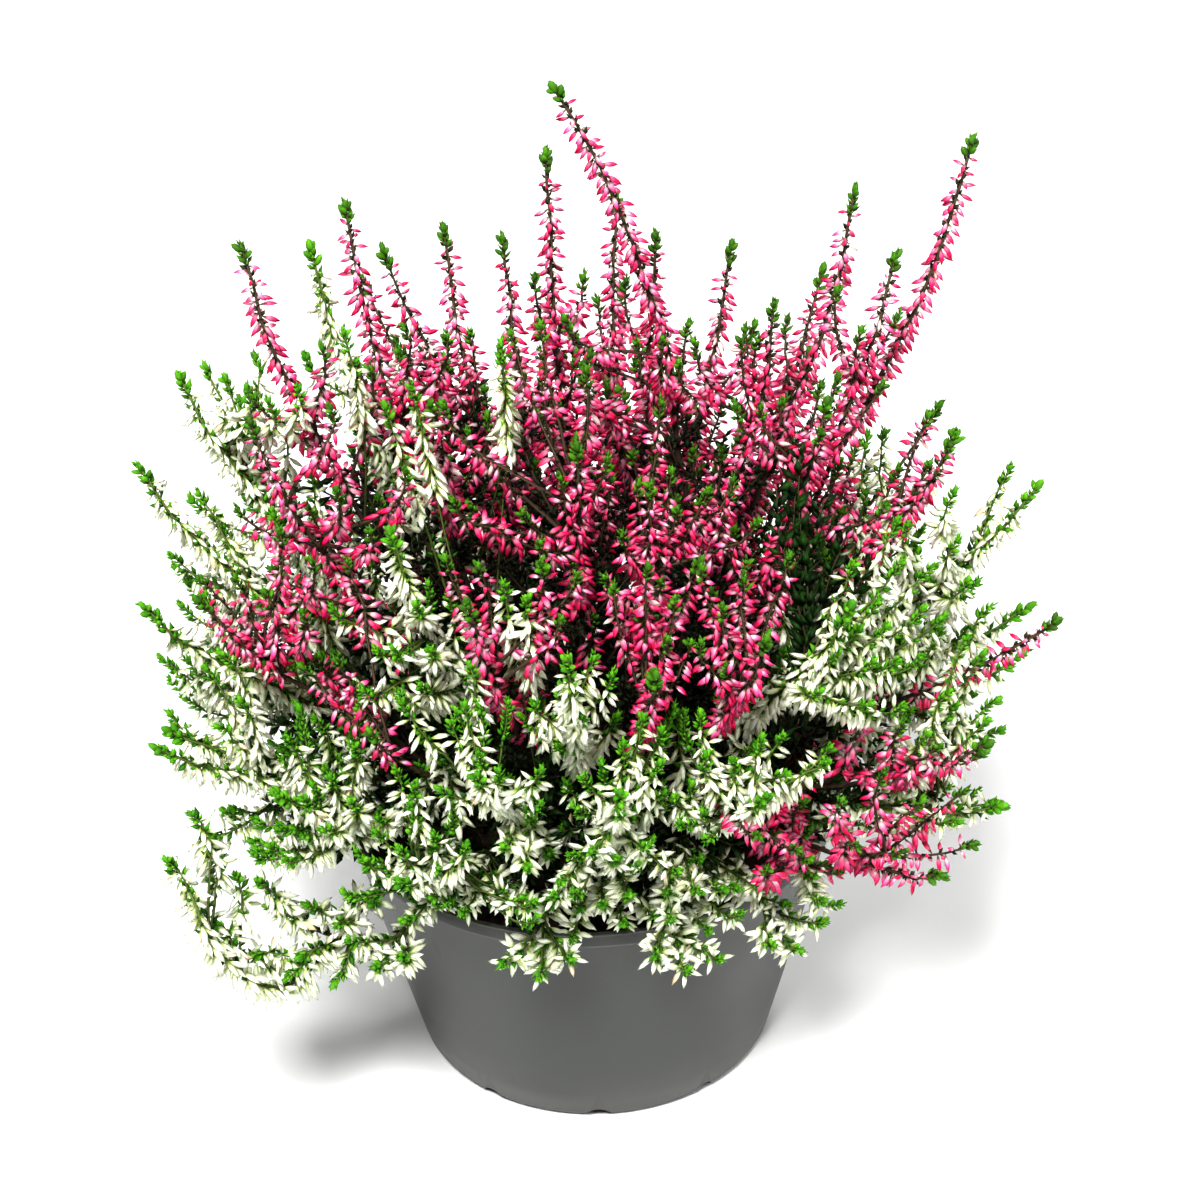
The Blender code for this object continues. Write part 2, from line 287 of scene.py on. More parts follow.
class Recipe:
    """The nodes of one finish."""

    def __init__(self, name: str) -> None:
        """Starts a material that has only its shader.

        Args:
            name: The material's name.
        """
        self.material = bpy.data.materials.new(name)
        self.material.use_nodes = True
        self.tree = self.material.node_tree
        self.shader = self.tree.nodes["Principled BSDF"]

    def feed(self, socket: Socket, value: object) -> None:
        """Links a value or socket to an input, or sets the input to a constant."""
        if isinstance(value, Value):
            value = value.socket
        if isinstance(value, Socket):
            self.tree.links.new(value, socket)
        elif isinstance(value, tuple) and len(value) == 3 and socket.type == "RGBA":
            socket.default_value = (*value, 1.0)
        else:
            socket.default_value = value

    def node(
        self,
        kind: str,
        settings: Mapping[str, object] | None = None,
        inputs: Mapping[Union[str, int], object] | None = None,
    ) -> bpy.types.Node:
        """Adds any node.

        Args:
            kind: The node's type.
            settings: Its settings, which are set first. "stops" is a ramp's (place, colour) pairs.
            inputs: The values or links of its sockets, by name or number.

        Returns:
            The new node.
        """
        made = self.tree.nodes.new(kind)
        for name, value in (settings or {}).items():
            if name == "stops":
                self._set_stops(made.color_ramp, value)
            else:
                setattr(made, name, value)
        for key, value in (inputs or {}).items():
            self.feed(made.inputs[key], value)
        return made

    @staticmethod
    def _set_stops(ramp: bpy.types.ColorRamp, stops: Sequence[tuple[float, Colour]]) -> None:
        """Gives a ramp its (place, colour) stops."""
        while len(ramp.elements) < len(stops):
            ramp.elements.new(0.5)
        for element, (place, colour) in zip(ramp.elements, stops):
            element.position = place
            element.color = (*colour, 1.0)

    def ramp(self, value: Value, stops: Sequence[tuple[float, Colour]]) -> Socket:
        """A colour that runs through the stops as the value goes from 0 to 1."""
        return self.node("ShaderNodeValToRGB", {"stops": stops}, {"Fac": value}).outputs["Color"]

    def mix(self, share: Term, first: object, second: object) -> Socket:
        """Mixes two colours.

        Args:
            share: How much of the second colour.
            first: A colour or its socket.
            second: The other colour or its socket.

        Returns:
            The mixed colour's socket.
        """
        inputs = {0: share, 6: first, 7: second}
        return self.node("ShaderNodeMix", {"data_type": "RGBA"}, inputs).outputs[2]

    def place(self) -> Socket:
        """The point on the piece, in metres."""
        return self.node("ShaderNodeTexCoord").outputs["Object"]

    def height(self) -> Value:
        """How high the point is on the piece, in metres."""
        return Value(self, self.node("ShaderNodeSeparateXYZ", None, {0: self.place()}).outputs[2])

    def along_and_lot(self) -> tuple[Value, Value]:
        """The two directions of the surface map: along a small part, and the lot it drew."""
        place = self.node("ShaderNodeUVMap", {"uv_map": SURFACE_MAP}).outputs[0]
        parts = self.node("ShaderNodeSeparateXYZ", None, {0: place})
        return Value(self, parts.outputs[0]), Value(self, parts.outputs[1])

    def noise(self, scale: float, detail: float = 4.0, stretch: Point = (1.0, 1.0, 1.0)) -> Value:
        """A cloudy pattern on the piece.

        Args:
            scale: Clouds in a metre, about.
            detail: How many finer layers it has.
            stretch: How the pattern is scaled along each axis.

        Returns:
            The pattern, from 0 to 1 about a half.
        """
        place = self.node("ShaderNodeMapping", None, {"Vector": self.place(), "Scale": stretch})
        inputs = {"Vector": place.outputs[0], "Scale": scale, "Detail": detail}
        return Value(self, self.node("ShaderNodeTexNoise", None, inputs).outputs[0])

    def dress(self, colour: object, rough: Term, gloss: float) -> None:
        """Feeds the shader.

        Args:
            colour: The base colour or its socket.
            rough: The roughness.
            gloss: The specular level, the same all over.
        """
        self.feed(self.shader.inputs["Base Color"], colour)
        self.feed(self.shader.inputs["Roughness"], rough)
        self.shader.inputs["Specular IOR Level"].default_value = gloss

    def emboss(self, height: Value, depth: float, strength: float) -> None:
        """Raises and sinks the surface a little by a pattern.

        Args:
            height: The pattern.
            depth: How far it goes, in metres.
            strength: How much of it shows.
        """
        inputs = {"Strength": strength, "Distance": depth, "Height": height}
        bump = self.node("ShaderNodeBump", None, inputs)
        self.feed(self.shader.inputs["Normal"], bump.outputs[0])


@dataclass(frozen=True)
class PotPlastic:
    """Grey moulded plastic with a satin surface, faint flow marks, scuffs, dust and painted
    highlight lines along the rim band's groove and lip.
    """

    grey: Colour = (0.048, 0.050, 0.047)
    dark: Colour = (0.034, 0.036, 0.033)
    # Pale grey of the scuffs, also the colour of the painted highlight lines on the rim band
    scuff_and_highlight: Colour = (0.15, 0.15, 0.14)
    dust: Colour = (0.12, 0.11, 0.095)
    # Heights in metres of the painted highlight lines: along the groove under the rim band and
    # along the lip
    painted_highlight_groove: tuple[Pair, Pair] = ((0.0922, 0.0928), (0.0934, 0.0940))
    painted_highlight_lip: Pair = (0.0972, 0.0978)
    dusty_under: float = 30 * MM
    relief: float = 0.12 * MM

    def make(self) -> Finish:
        """The plastic's material."""
        recipe = Recipe("pot_plastic")
        clouds = recipe.noise(14.0, 6.0).step(0.30, 0.70)
        flow = recipe.noise(60.0, 3.0, (1.0, 1.0, 0.12))
        grain = recipe.noise(1900.0, 2.0)
        scratches = recipe.noise(260.0, 2.0, (1.0, 1.0, 0.06)).step(0.66, 0.78)
        specks = recipe.noise(700.0, 1.0).step(0.70, 0.80)
        height = recipe.height()
        low = 1 - height.step(0.0, self.dusty_under)
        # Painted highlight: thin lines along the groove under the rim band and along the lip, mixed
        # toward the pale scuff colour
        groove, after_groove = self.painted_highlight_groove
        line = height.step(*groove) * (1 - height.step(*after_groove)) + height.step(*self.painted_highlight_lip)
        colour = recipe.mix(clouds * 0.7 + flow * 0.3, self.dark, self.grey)
        colour = recipe.mix(line.held() * 0.6, colour, self.scuff_and_highlight)
        colour = recipe.mix(scratches * clouds * 0.28, colour, self.scuff_and_highlight)
        colour = recipe.mix((specks * 0.30 + low * clouds * 0.35).held(), colour, self.dust)
        rough = 0.36 + clouds * 0.16 + scratches * 0.12 + specks * 0.15
        recipe.dress(colour, rough, 0.5)
        recipe.emboss(grain * 0.4 + flow * 0.6, self.relief, 0.35)
        return recipe.material


@dataclass(frozen=True)
class PeatFinish:
    """Dark moist peat with paler fibres and crumbs."""

    wet: Colour = (0.010, 0.007, 0.005)
    dry: Colour = (0.060, 0.036, 0.020)
    fibre: Colour = (0.16, 0.10, 0.055)
    relief: float = 1.0 * MM

    def make(self) -> Finish:
        """The peat's material."""
        recipe = Recipe("moist_peat")
        lumps = recipe.noise(160.0, 6.0)
        crumbs = recipe.noise(900.0, 4.0)
        fibres = recipe.noise(420.0, 3.0, (1.0, 0.15, 1.0)).step(0.60, 0.72)
        colour = recipe.mix(lumps.step(0.35, 0.65), self.wet, self.dry)
        colour = recipe.mix(fibres * 0.55, colour, self.fibre)
        recipe.dress(colour, 0.78 + crumbs * 0.2, 0.3)
        recipe.emboss(lumps * 0.6 + crumbs * 0.4, self.relief, 0.8)
        return recipe.material


@dataclass(frozen=True)
class LitterFinish:
    """Loose crumbs and fibres of peat, each of a colour of its own."""

    wet: Colour = (0.012, 0.008, 0.006)
    dry: Colour = (0.070, 0.042, 0.024)
    fibre: Colour = (0.17, 0.105, 0.06)

    def make(self) -> Finish:
        """The material of the crumbs and fibres."""
        recipe = Recipe("peat_crumbs")
        along, lot = recipe.along_and_lot()
        shade = (lot * 37.0).wrapped()
        colour = recipe.ramp(shade, ((0.0, self.wet), (0.7, self.dry), (1.0, self.fibre)))
        colour = recipe.mix(along * 0.35, colour, self.wet)
        recipe.dress(colour, 0.82 + shade * 0.12, 0.3)
        return recipe.material


@dataclass(frozen=True)
class PetalFinish:
    """Waxy flower buds that change colour from stalk to tip, each bud a little different.

    full and pale are the colours of a deep and of a pale bud at the places along it. odd is the
    colour of the few that are turning.
    """

    name: str
    places: tuple[float, ...]
    full: tuple[Colour, ...]
    pale: tuple[Colour, ...]
    odd: Colour
    odd_from: float
    shading: float

    def make(self) -> Finish:
        """The buds' material."""
        recipe = Recipe(self.name)
        along, lot = recipe.along_and_lot()
        deep = recipe.ramp(along, tuple(zip(self.places, self.full)))
        light = recipe.ramp(along, tuple(zip(self.places, self.pale)))
        paleness = (lot * 7.0).wrapped()
        shade = (lot * 23.0).wrapped()
        colour = recipe.mix(paleness.step(0.15, 1.0), deep, light)
        turning = lot.step(self.odd_from, self.odd_from + 0.02) * along.step(0.3, 0.6)
        colour = recipe.mix(turning, colour, self.odd)
        colour = recipe.mix(shade * self.shading, colour, BLACK)
        rough = 0.42 + shade * 0.16 - along * 0.06
        recipe.dress(colour, rough, 0.20)
        return recipe.material


@dataclass(frozen=True)
class GreenFinish:
    """Stems and scale leaves: the lots up to STEM_LOTS are wood, those over LEAF_LOTS leaves."""

    name: str
    wood: tuple[Colour, Colour, Colour]
    leaf: tuple[Colour, ...]

    STEM_LOTS = 0.18
    LEAF_LOTS = 0.22
    WOOD_AGES = (0.0, 0.55, 1.0)

    def make(self) -> Finish:
        """The material of stems and leaves."""
        recipe = Recipe(self.name)
        along, lot = recipe.along_and_lot()
        leafy = lot.step(self.STEM_LOTS, self.LEAF_LOTS)
        wood = recipe.ramp(along, tuple(zip(self.WOOD_AGES, self.wood)))
        wood = recipe.mix((lot * 61.0).wrapped() * 0.45, wood, BLACK)
        shade = (lot - self.LEAF_LOTS) * (1 / (1 - self.LEAF_LOTS))
        steps = [index / (len(self.leaf) - 1) for index in range(len(self.leaf))]
        leaf = recipe.ramp(shade, tuple(zip(steps, self.leaf)))
        tint = (lot * 97.0).wrapped()
        leaf = recipe.mix(0.38 - along * 0.38 + tint * 0.22, leaf, BLACK)
        colour = recipe.mix(leafy, wood, leaf)
        rough = 0.74 - leafy * 0.24 + tint * 0.08
        recipe.dress(colour, rough, 0.15)
        return recipe.material


@dataclass(frozen=True)
class FloorFinish:
    """A plain pale floor with a very faint unevenness."""

    pale: Colour = (0.84, 0.84, 0.84)
    shade: Colour = (0.81, 0.81, 0.81)

    def make(self) -> Finish:
        """The floor's material."""
        recipe = Recipe("pale_floor")
        recipe.dress(recipe.mix(recipe.noise(3.0), self.shade, self.pale), 0.9, 0.1)
        return recipe.material


# fmt: off
PINK_PETALS = PetalFinish(
    name="pink_buds",
    places=(0.0, 0.22, 0.36, 0.62, 0.85, 1.0),
    full=(
        (0.07, 0.07, 0.02), (0.12, 0.07, 0.03), (0.88, 0.17, 0.31),
        (0.84, 0.010, 0.13), (0.58, 0.002, 0.052), (0.34, 0.001, 0.024),
    ),
    pale=(
        (0.12, 0.15, 0.04), (0.34, 0.26, 0.16), (0.98, 0.74, 0.78),
        (0.96, 0.20, 0.43), (0.84, 0.020, 0.19), (0.52, 0.003, 0.07),
    ),
    odd=(0.86, 0.66, 0.60),
    odd_from=0.955,
    shading=0.30,
)
WHITE_PETALS = PetalFinish(
    name="white_buds",
    places=(0.0, 0.20, 0.34, 0.58, 0.88, 1.0),
    full=(
        (0.13, 0.22, 0.02), (0.28, 0.40, 0.05), (0.62, 0.71, 0.34),
        (0.81, 0.86, 0.62), (0.84, 0.87, 0.66), (0.68, 0.72, 0.40),
    ),
    pale=(
        (0.18, 0.27, 0.03), (0.42, 0.52, 0.13), (0.84, 0.89, 0.62),
        (0.92, 0.945, 0.80), (0.93, 0.945, 0.83), (0.84, 0.86, 0.64),
    ),
    odd=(0.78, 0.62, 0.38),
    odd_from=0.965,
    shading=0.16,
)
PINK_GREENERY = GreenFinish(
    name="pink_stems_and_leaves",
    wood=((0.028, 0.016, 0.011), (0.060, 0.036, 0.024), (0.115, 0.075, 0.042)),
    leaf=(
        (0.004, 0.012, 0.002), (0.016, 0.022, 0.006), (0.050, 0.050, 0.018),
        (0.050, 0.17, 0.006), (0.11, 0.34, 0.010),
    ),
)
WHITE_GREENERY = GreenFinish(
    name="white_stems_and_leaves",
    wood=((0.030, 0.018, 0.011), (0.070, 0.075, 0.022), (0.15, 0.23, 0.05)),
    leaf=(
        (0.004, 0.015, 0.002), (0.012, 0.055, 0.003), (0.036, 0.17, 0.005),
        (0.080, 0.31, 0.008), (0.17, 0.47, 0.015),
    ),
)
# fmt: on


class Bench:
    """Where shapes are started, worked in edit mode and finished."""

    @staticmethod
    def clear() -> None:
        """Deselects everything, so that a later step acts only on the new piece."""
        if bpy.context.mode != "OBJECT":
            bpy.ops.object.mode_set(mode="OBJECT")
        bpy.ops.object.select_all(action="DESELECT")

    @staticmethod
    def named(name: str) -> Piece:
        """Names the object that was just added, and its mesh."""
        made = bpy.context.object
        made.name = name
        made.data.name = name
        return made

    @staticmethod
    def select(piece: Piece) -> None:
        """Makes a piece the only selected one."""
        Bench.clear()
        piece.select_set(True)
        bpy.context.view_layer.objects.active = piece

    @staticmethod
    def face_out() -> None:
        """Selects the whole mesh and points its faces outwards."""
        bpy.ops.mesh.select_all(action="SELECT")
        bpy.ops.mesh.normals_make_consistent(inside=False)

    @staticmethod
    def extrude(move: Point) -> None:
        """Extrudes what is selected by a move."""
        bpy.ops.mesh.extrude_region_move(TRANSFORM_OT_translate={"value": move})

    @staticmethod
    def spindle(name: str, sides: int, rings: Sequence[Pair], flatness: float = 1.0) -> Piece:
        """A closed spindle along +Z from 0 to 1, pointed at both ends.

        Args:
            name: The object's name.
            sides: Corners of each ring.
            rings: (place along, radius) of each ring between the two points.
            flatness: How much its depth along Y is of its width.

        Returns:
            The finished object.
        """
        Bench.clear()
        height, radius = rings[0]
        bpy.ops.mesh.primitive_cone_add(
            vertices=sides,
            radius1=0.0,
            radius2=radius,
            depth=height,
            end_fill_type="NOTHING",
            location=(0.0, 0.0, height / 2),
        )
        made = Bench.named(name)
        bpy.ops.object.transform_apply(location=True)
        bpy.ops.object.mode_set(mode="EDIT")
        bpy.ops.mesh.select_mode(type="EDGE")
        bpy.ops.mesh.select_all(action="DESELECT")
        bpy.ops.mesh.select_non_manifold()
        for next_height, next_radius in rings[1:]:
            Bench.extrude((0.0, 0.0, next_height - height))
            grow = next_radius / radius
            centre = (0.0, 0.0, next_height)
            bpy.ops.transform.resize(value=(grow, grow, 1.0), center_override=centre)
            height, radius = next_height, next_radius
        Bench.extrude((0.0, 0.0, 1.0 - height))
        bpy.ops.mesh.merge(type="CENTER")
        bpy.ops.mesh.select_all(action="SELECT")
        bpy.ops.transform.resize(value=(1.0, flatness, 1.0), center_override=(0.0, 0.0, 0.0))
        bpy.ops.mesh.normals_make_consistent(inside=False)
        bpy.ops.object.mode_set(mode="OBJECT")
        return made

    @staticmethod
    def turned(name: str, profile: Sequence[Pair], steps: int) -> Piece:
        """A closed shape turned about Z from a profile that starts and ends on the axis.

        Args:
            name: The object's name.
            profile: (radius, height) points in order.
            steps: Faces round the shape.

        Returns:
            The finished object.
        """
        Bench.clear()
        bpy.ops.mesh.primitive_plane_add(size=MM, location=(0.0, 0.0, 0.0))
        made = Bench.named(name)
        bpy.ops.object.mode_set(mode="EDIT")
        bpy.ops.mesh.select_mode(type="VERT")
        bpy.ops.mesh.select_all(action="SELECT")
        bpy.ops.mesh.merge(type="CENTER")
        radius, height = profile[0]
        bpy.ops.transform.translate(value=(radius, 0.0, height))
        for next_radius, next_height in profile[1:]:
            Bench.extrude((next_radius - radius, 0.0, next_height - height))
            radius, height = next_radius, next_height
        bpy.ops.mesh.select_all(action="SELECT")
        bpy.ops.mesh.spin(
            steps=steps, angle=2 * math.pi, center=(0.0, 0.0, 0.0), axis=(0.0, 0.0, 1.0)
        )
        bpy.ops.mesh.select_all(action="SELECT")
        bpy.ops.mesh.remove_doubles(threshold=0.01 * MM)
        Bench.face_out()
        bpy.ops.object.mode_set(mode="OBJECT")
        return made

    @staticmethod
    def apply_all(piece: Piece) -> None:
        """Applies the piece's modifiers in order."""
        Bench.select(piece)
        for modifier in list(piece.modifiers):
            bpy.ops.object.modifier_apply(modifier=modifier.name)

    @staticmethod
    def smooth(piece: Piece, degrees: float) -> None:
        """Shades the piece smooth where faces meet at less than the angle."""
        Bench.select(piece)
        bpy.ops.object.shade_smooth_by_angle(angle=math.radians(degrees))

    @staticmethod
    def drop(piece: Piece) -> None:
        """Takes a helper shape away."""
        bpy.data.objects.remove(piece, do_unlink=True)


@dataclass(frozen=True)
class Master:
    """A small shape that was modelled once, as arrays for copying: it runs along +Z from 0 to 1."""

    places: Array
    corners: Array
    counts: Array

    @classmethod
    def taken_from(cls, piece: Piece) -> "Master":
        """Reads a modelled shape and removes its object.

        Args:
            piece: The object that holds the shape.

        Returns:
            The shape as arrays.
        """
        mesh = piece.data
        places = np.zeros(len(mesh.vertices) * 3)
        mesh.vertices.foreach_get("co", places)
        corners = np.zeros(len(mesh.loops), dtype=np.int64)
        mesh.loops.foreach_get("vertex_index", corners)
        counts = np.zeros(len(mesh.polygons), dtype=np.int64)
        mesh.polygons.foreach_get("loop_total", counts)
        Bench.drop(piece)
        return cls(places.reshape(-1, 3), corners, counts)


class Gathering:
    """Many small closed shapes that become one mesh, with a surface map of (along, lot)."""

    LOT_WIDTH = 0.004
    TUBE_WIDTHS = 4
    MAP_EDGE = 0.01
    BLUNT_FOOT = 0.5

    def __init__(self) -> None:
        """Starts with nothing gathered."""
        self.places: list[Array] = []
        self.corners: list[Array] = []
        self.counts: list[Array] = []
        self.maps: list[Array] = []
        self.size = 0

    def add(self, places: Array, corners: Array, counts: Array, surface: Array) -> None:
        """Adds vertices and faces.

        Args:
            places: The vertices, in metres.
            corners: The faces' corners, as numbers of those vertices.
            counts: How many corners each face has.
            surface: (along, lot) of each corner.
        """
        self.places.append(places)
        self.corners.append(corners + self.size)
        self.counts.append(counts)
        self.maps.append(surface)
        self.size += len(places)

    def copies(
        self,
        master: Master,
        origins: Array,
        pointing: Array,
        spin: Array,
        sizes: Array,
        lots: Array,
    ) -> None:
        """Adds copies of a small shape.

        Args:
            master: The shape.
            origins: Where each copy starts.
            pointing: The unit direction each copy runs in.
            spin: Each copy's turn about that direction, in radians.
            sizes: (width, length) of each copy in metres.
            lots: The lot of each copy, from 0 to 1.
        """
        amount = len(origins)
        if not amount:
            return
        side, rear = Lines.across(pointing)
        cosine, sine = np.cos(spin)[:, None], np.sin(spin)[:, None]
        side, rear = side * cosine + rear * sine, rear * cosine - side * sine
        shape = master.places
        places = (
            origins[:, None]
            + shape[None, :, :1] * (side * sizes[:, :1])[:, None]
            + shape[None, :, 1:2] * (rear * sizes[:, :1])[:, None]
            + shape[None, :, 2:] * (pointing * sizes[:, 1:])[:, None]
        )
        first = np.arange(amount) * len(shape)
        corners = (master.corners[None] + first[:, None]).ravel()
        along = np.clip(shape[master.corners, 2], self.MAP_EDGE, 1 - self.MAP_EDGE)
        swing = np.arctan2(shape[master.corners, 1], shape[master.corners, 0]) / (2 * math.pi)
        lot = lots[:, None] + swing[None] * self.LOT_WIDTH
        lot = np.clip(lot, self.LOT_WIDTH, 1 - self.LOT_WIDTH)
        surface = np.stack((np.broadcast_to(along, lot.shape), lot), axis=2).reshape(-1, 2)
        self.add(places.reshape(-1, 3), corners, np.tile(master.counts, amount), surface)

    def tube(self, path: Array, radii: Array, sides: int, ages: Pair, lot: float) -> None:
        """Adds a closed tube along a path, pointed at both ends.

        Args:
            path: The points it follows.
            radii: Its radius at each of them.
            sides: Corners of its section.
            ages: The places on the surface map at its start and end.
            lot: Its lot.
        """
        count = len(path)
        side, rear = Lines.carried(path)
        turns = np.arange(sides) * 2 * math.pi / sides
        cosine, sine = np.cos(turns)[None, :, None], np.sin(turns)[None, :, None]
        ring = side[:, None] * cosine + rear[:, None] * sine
        rings = path[:, None] + ring * radii[:, None, None]
        heading = Lines.along(path)
        start = path[0] - heading[0] * radii[0] * self.BLUNT_FOOT
        ends = np.stack((start, path[-1] + heading[-1] * radii[-1]))
        places = np.concatenate((rings.reshape(-1, 3), ends))
        here = np.arange(sides)
        after = (here + 1) % sides
        rows = np.arange(count - 1)[:, None] * sides
        walls = np.stack(
            (rows + here, rows + after, rows + after + sides, rows + here + sides), axis=2
        ).reshape(-1, 4)
        foot = np.stack((after, here, np.full(sides, count * sides)), axis=1)
        last = (count - 1) * sides
        top = np.stack((last + here, last + after, np.full(sides, count * sides + 1)), axis=1)
        corners = np.concatenate((walls.ravel(), foot.ravel(), top.ravel()))
        counts = np.concatenate((np.full(len(walls), 4), np.full(2 * sides, 3)))
        age = ages[0] + (ages[1] - ages[0]) * Lines.shares(path)
        along = np.concatenate((np.repeat(age, sides), age[[0, -1]]))
        swing = np.concatenate((np.tile(here / sides - 0.5, count), (0.0, 0.0)))
        along = np.clip(along, self.MAP_EDGE, 1 - self.MAP_EDGE)
        surface = np.stack((along, lot + swing * self.LOT_WIDTH * self.TUBE_WIDTHS), axis=1)
        self.add(places, corners, counts, surface[corners])

    def finish(self, name: str, finish: Finish) -> Piece:
        """Makes the piece.

        Args:
            name: The piece's name.
            finish: Its material.

        Returns:
            The piece, with its surface map and smooth faces.
        """
        places = np.concatenate(self.places)
        corners = np.concatenate(self.corners)
        counts = np.concatenate(self.counts)
        mesh = bpy.data.meshes.new(name)
        mesh.vertices.add(len(places))
        mesh.vertices.foreach_set("co", places.astype(np.float32).ravel())
        mesh.loops.add(len(corners))
        mesh.loops.foreach_set("vertex_index", corners.astype(np.int32))
        mesh.polygons.add(len(counts))
        starts = np.concatenate(((0,), np.cumsum(counts)[:-1]))
        mesh.polygons.foreach_set("loop_start", starts.astype(np.int32))
        mesh.polygons.foreach_set("loop_total", counts.astype(np.int32))
        mesh.polygons.foreach_set("use_smooth", np.ones(len(counts), dtype=bool))
        layer = mesh.uv_layers.new(name=SURFACE_MAP)
        layer.data.foreach_set("uv", np.concatenate(self.maps).astype(np.float32).ravel())
        mesh.update(calc_edges=True)
        mesh.validate()
        mesh.materials.append(finish)
        piece = bpy.data.objects.new(name, mesh)
        bpy.context.scene.collection.objects.link(piece)
        return piece


class Lines:
    """Sums on arrays of points and directions."""

    @staticmethod
    def unit(vectors: Array) -> Array:
        """The vectors scaled to a length of one."""
        return vectors / np.maximum(np.linalg.norm(vectors, axis=-1, keepdims=True), 1e-12)

    @staticmethod
    def across(pointing: Array) -> tuple[Array, Array]:
        """Two directions square to each given one and to each other."""
        helper = np.where(np.abs(pointing[:, 2:]) < 0.9, (0.0, 0.0, 1.0), (1.0, 0.0, 0.0))
        side = Lines.unit(np.cross(helper, pointing))
        return side, np.cross(pointing, side)

    @staticmethod
    def outward(heading: Array, turn: Array) -> Array:
        """Lines square to the headings, turned about them by angles in radians."""
        side, rear = Lines.across(heading)
        return side * np.cos(turn)[:, None] + rear * np.sin(turn)[:, None]

    @staticmethod
    def along(path: Array) -> Array:
        """The unit direction of travel at each point of a path."""
        return Lines.unit(np.gradient(path, axis=0))

    @staticmethod
    def carried(path: Array) -> tuple[Array, Array]:
        """Two directions across a path at each point, that don't twist along it."""
        heading = Lines.along(path)
        side = np.zeros_like(path)
        side[0] = Lines.across(heading[:1])[0][0]
        for index in range(1, len(path)):
            carried = side[index - 1] - heading[index] * (side[index - 1] @ heading[index])
            side[index] = Lines.unit(carried)
        return side, np.cross(heading, side)

    @staticmethod
    def lengths(path: Array) -> Array:
        """How far each point is along the path."""
        steps = np.linalg.norm(np.diff(path, axis=0), axis=1)
        return np.concatenate(((0.0,), np.cumsum(steps)))

    @staticmethod
    def shares(path: Array) -> Array:
        """How far each point is along the path, as a share of its length."""
        lengths = Lines.lengths(path)
        return lengths / lengths[-1]

    @staticmethod
    def at(path: Array, stations: Array) -> tuple[Array, Array]:
        """Points and headings at distances along a path."""
        lengths = Lines.lengths(path)
        heading = Lines.along(path)
        places, facing = (
            np.stack([np.interp(stations, lengths, line) for line in lines.T], axis=1)
            for lines in (path, heading)
        )
        return places, Lines.unit(facing)

    @staticmethod
    def cubic(start: Array, first: Array, second: Array, end: Array, count: int) -> Array:
        """Points on the cubic curve from start to end that leans on the two points between."""
        share = np.linspace(0.0, 1.0, count)[:, None]
        rest = 1 - share
        outer = rest**3 * start + 3 * rest**2 * share * first
        return outer + 3 * rest * share**2 * second + share**3 * end


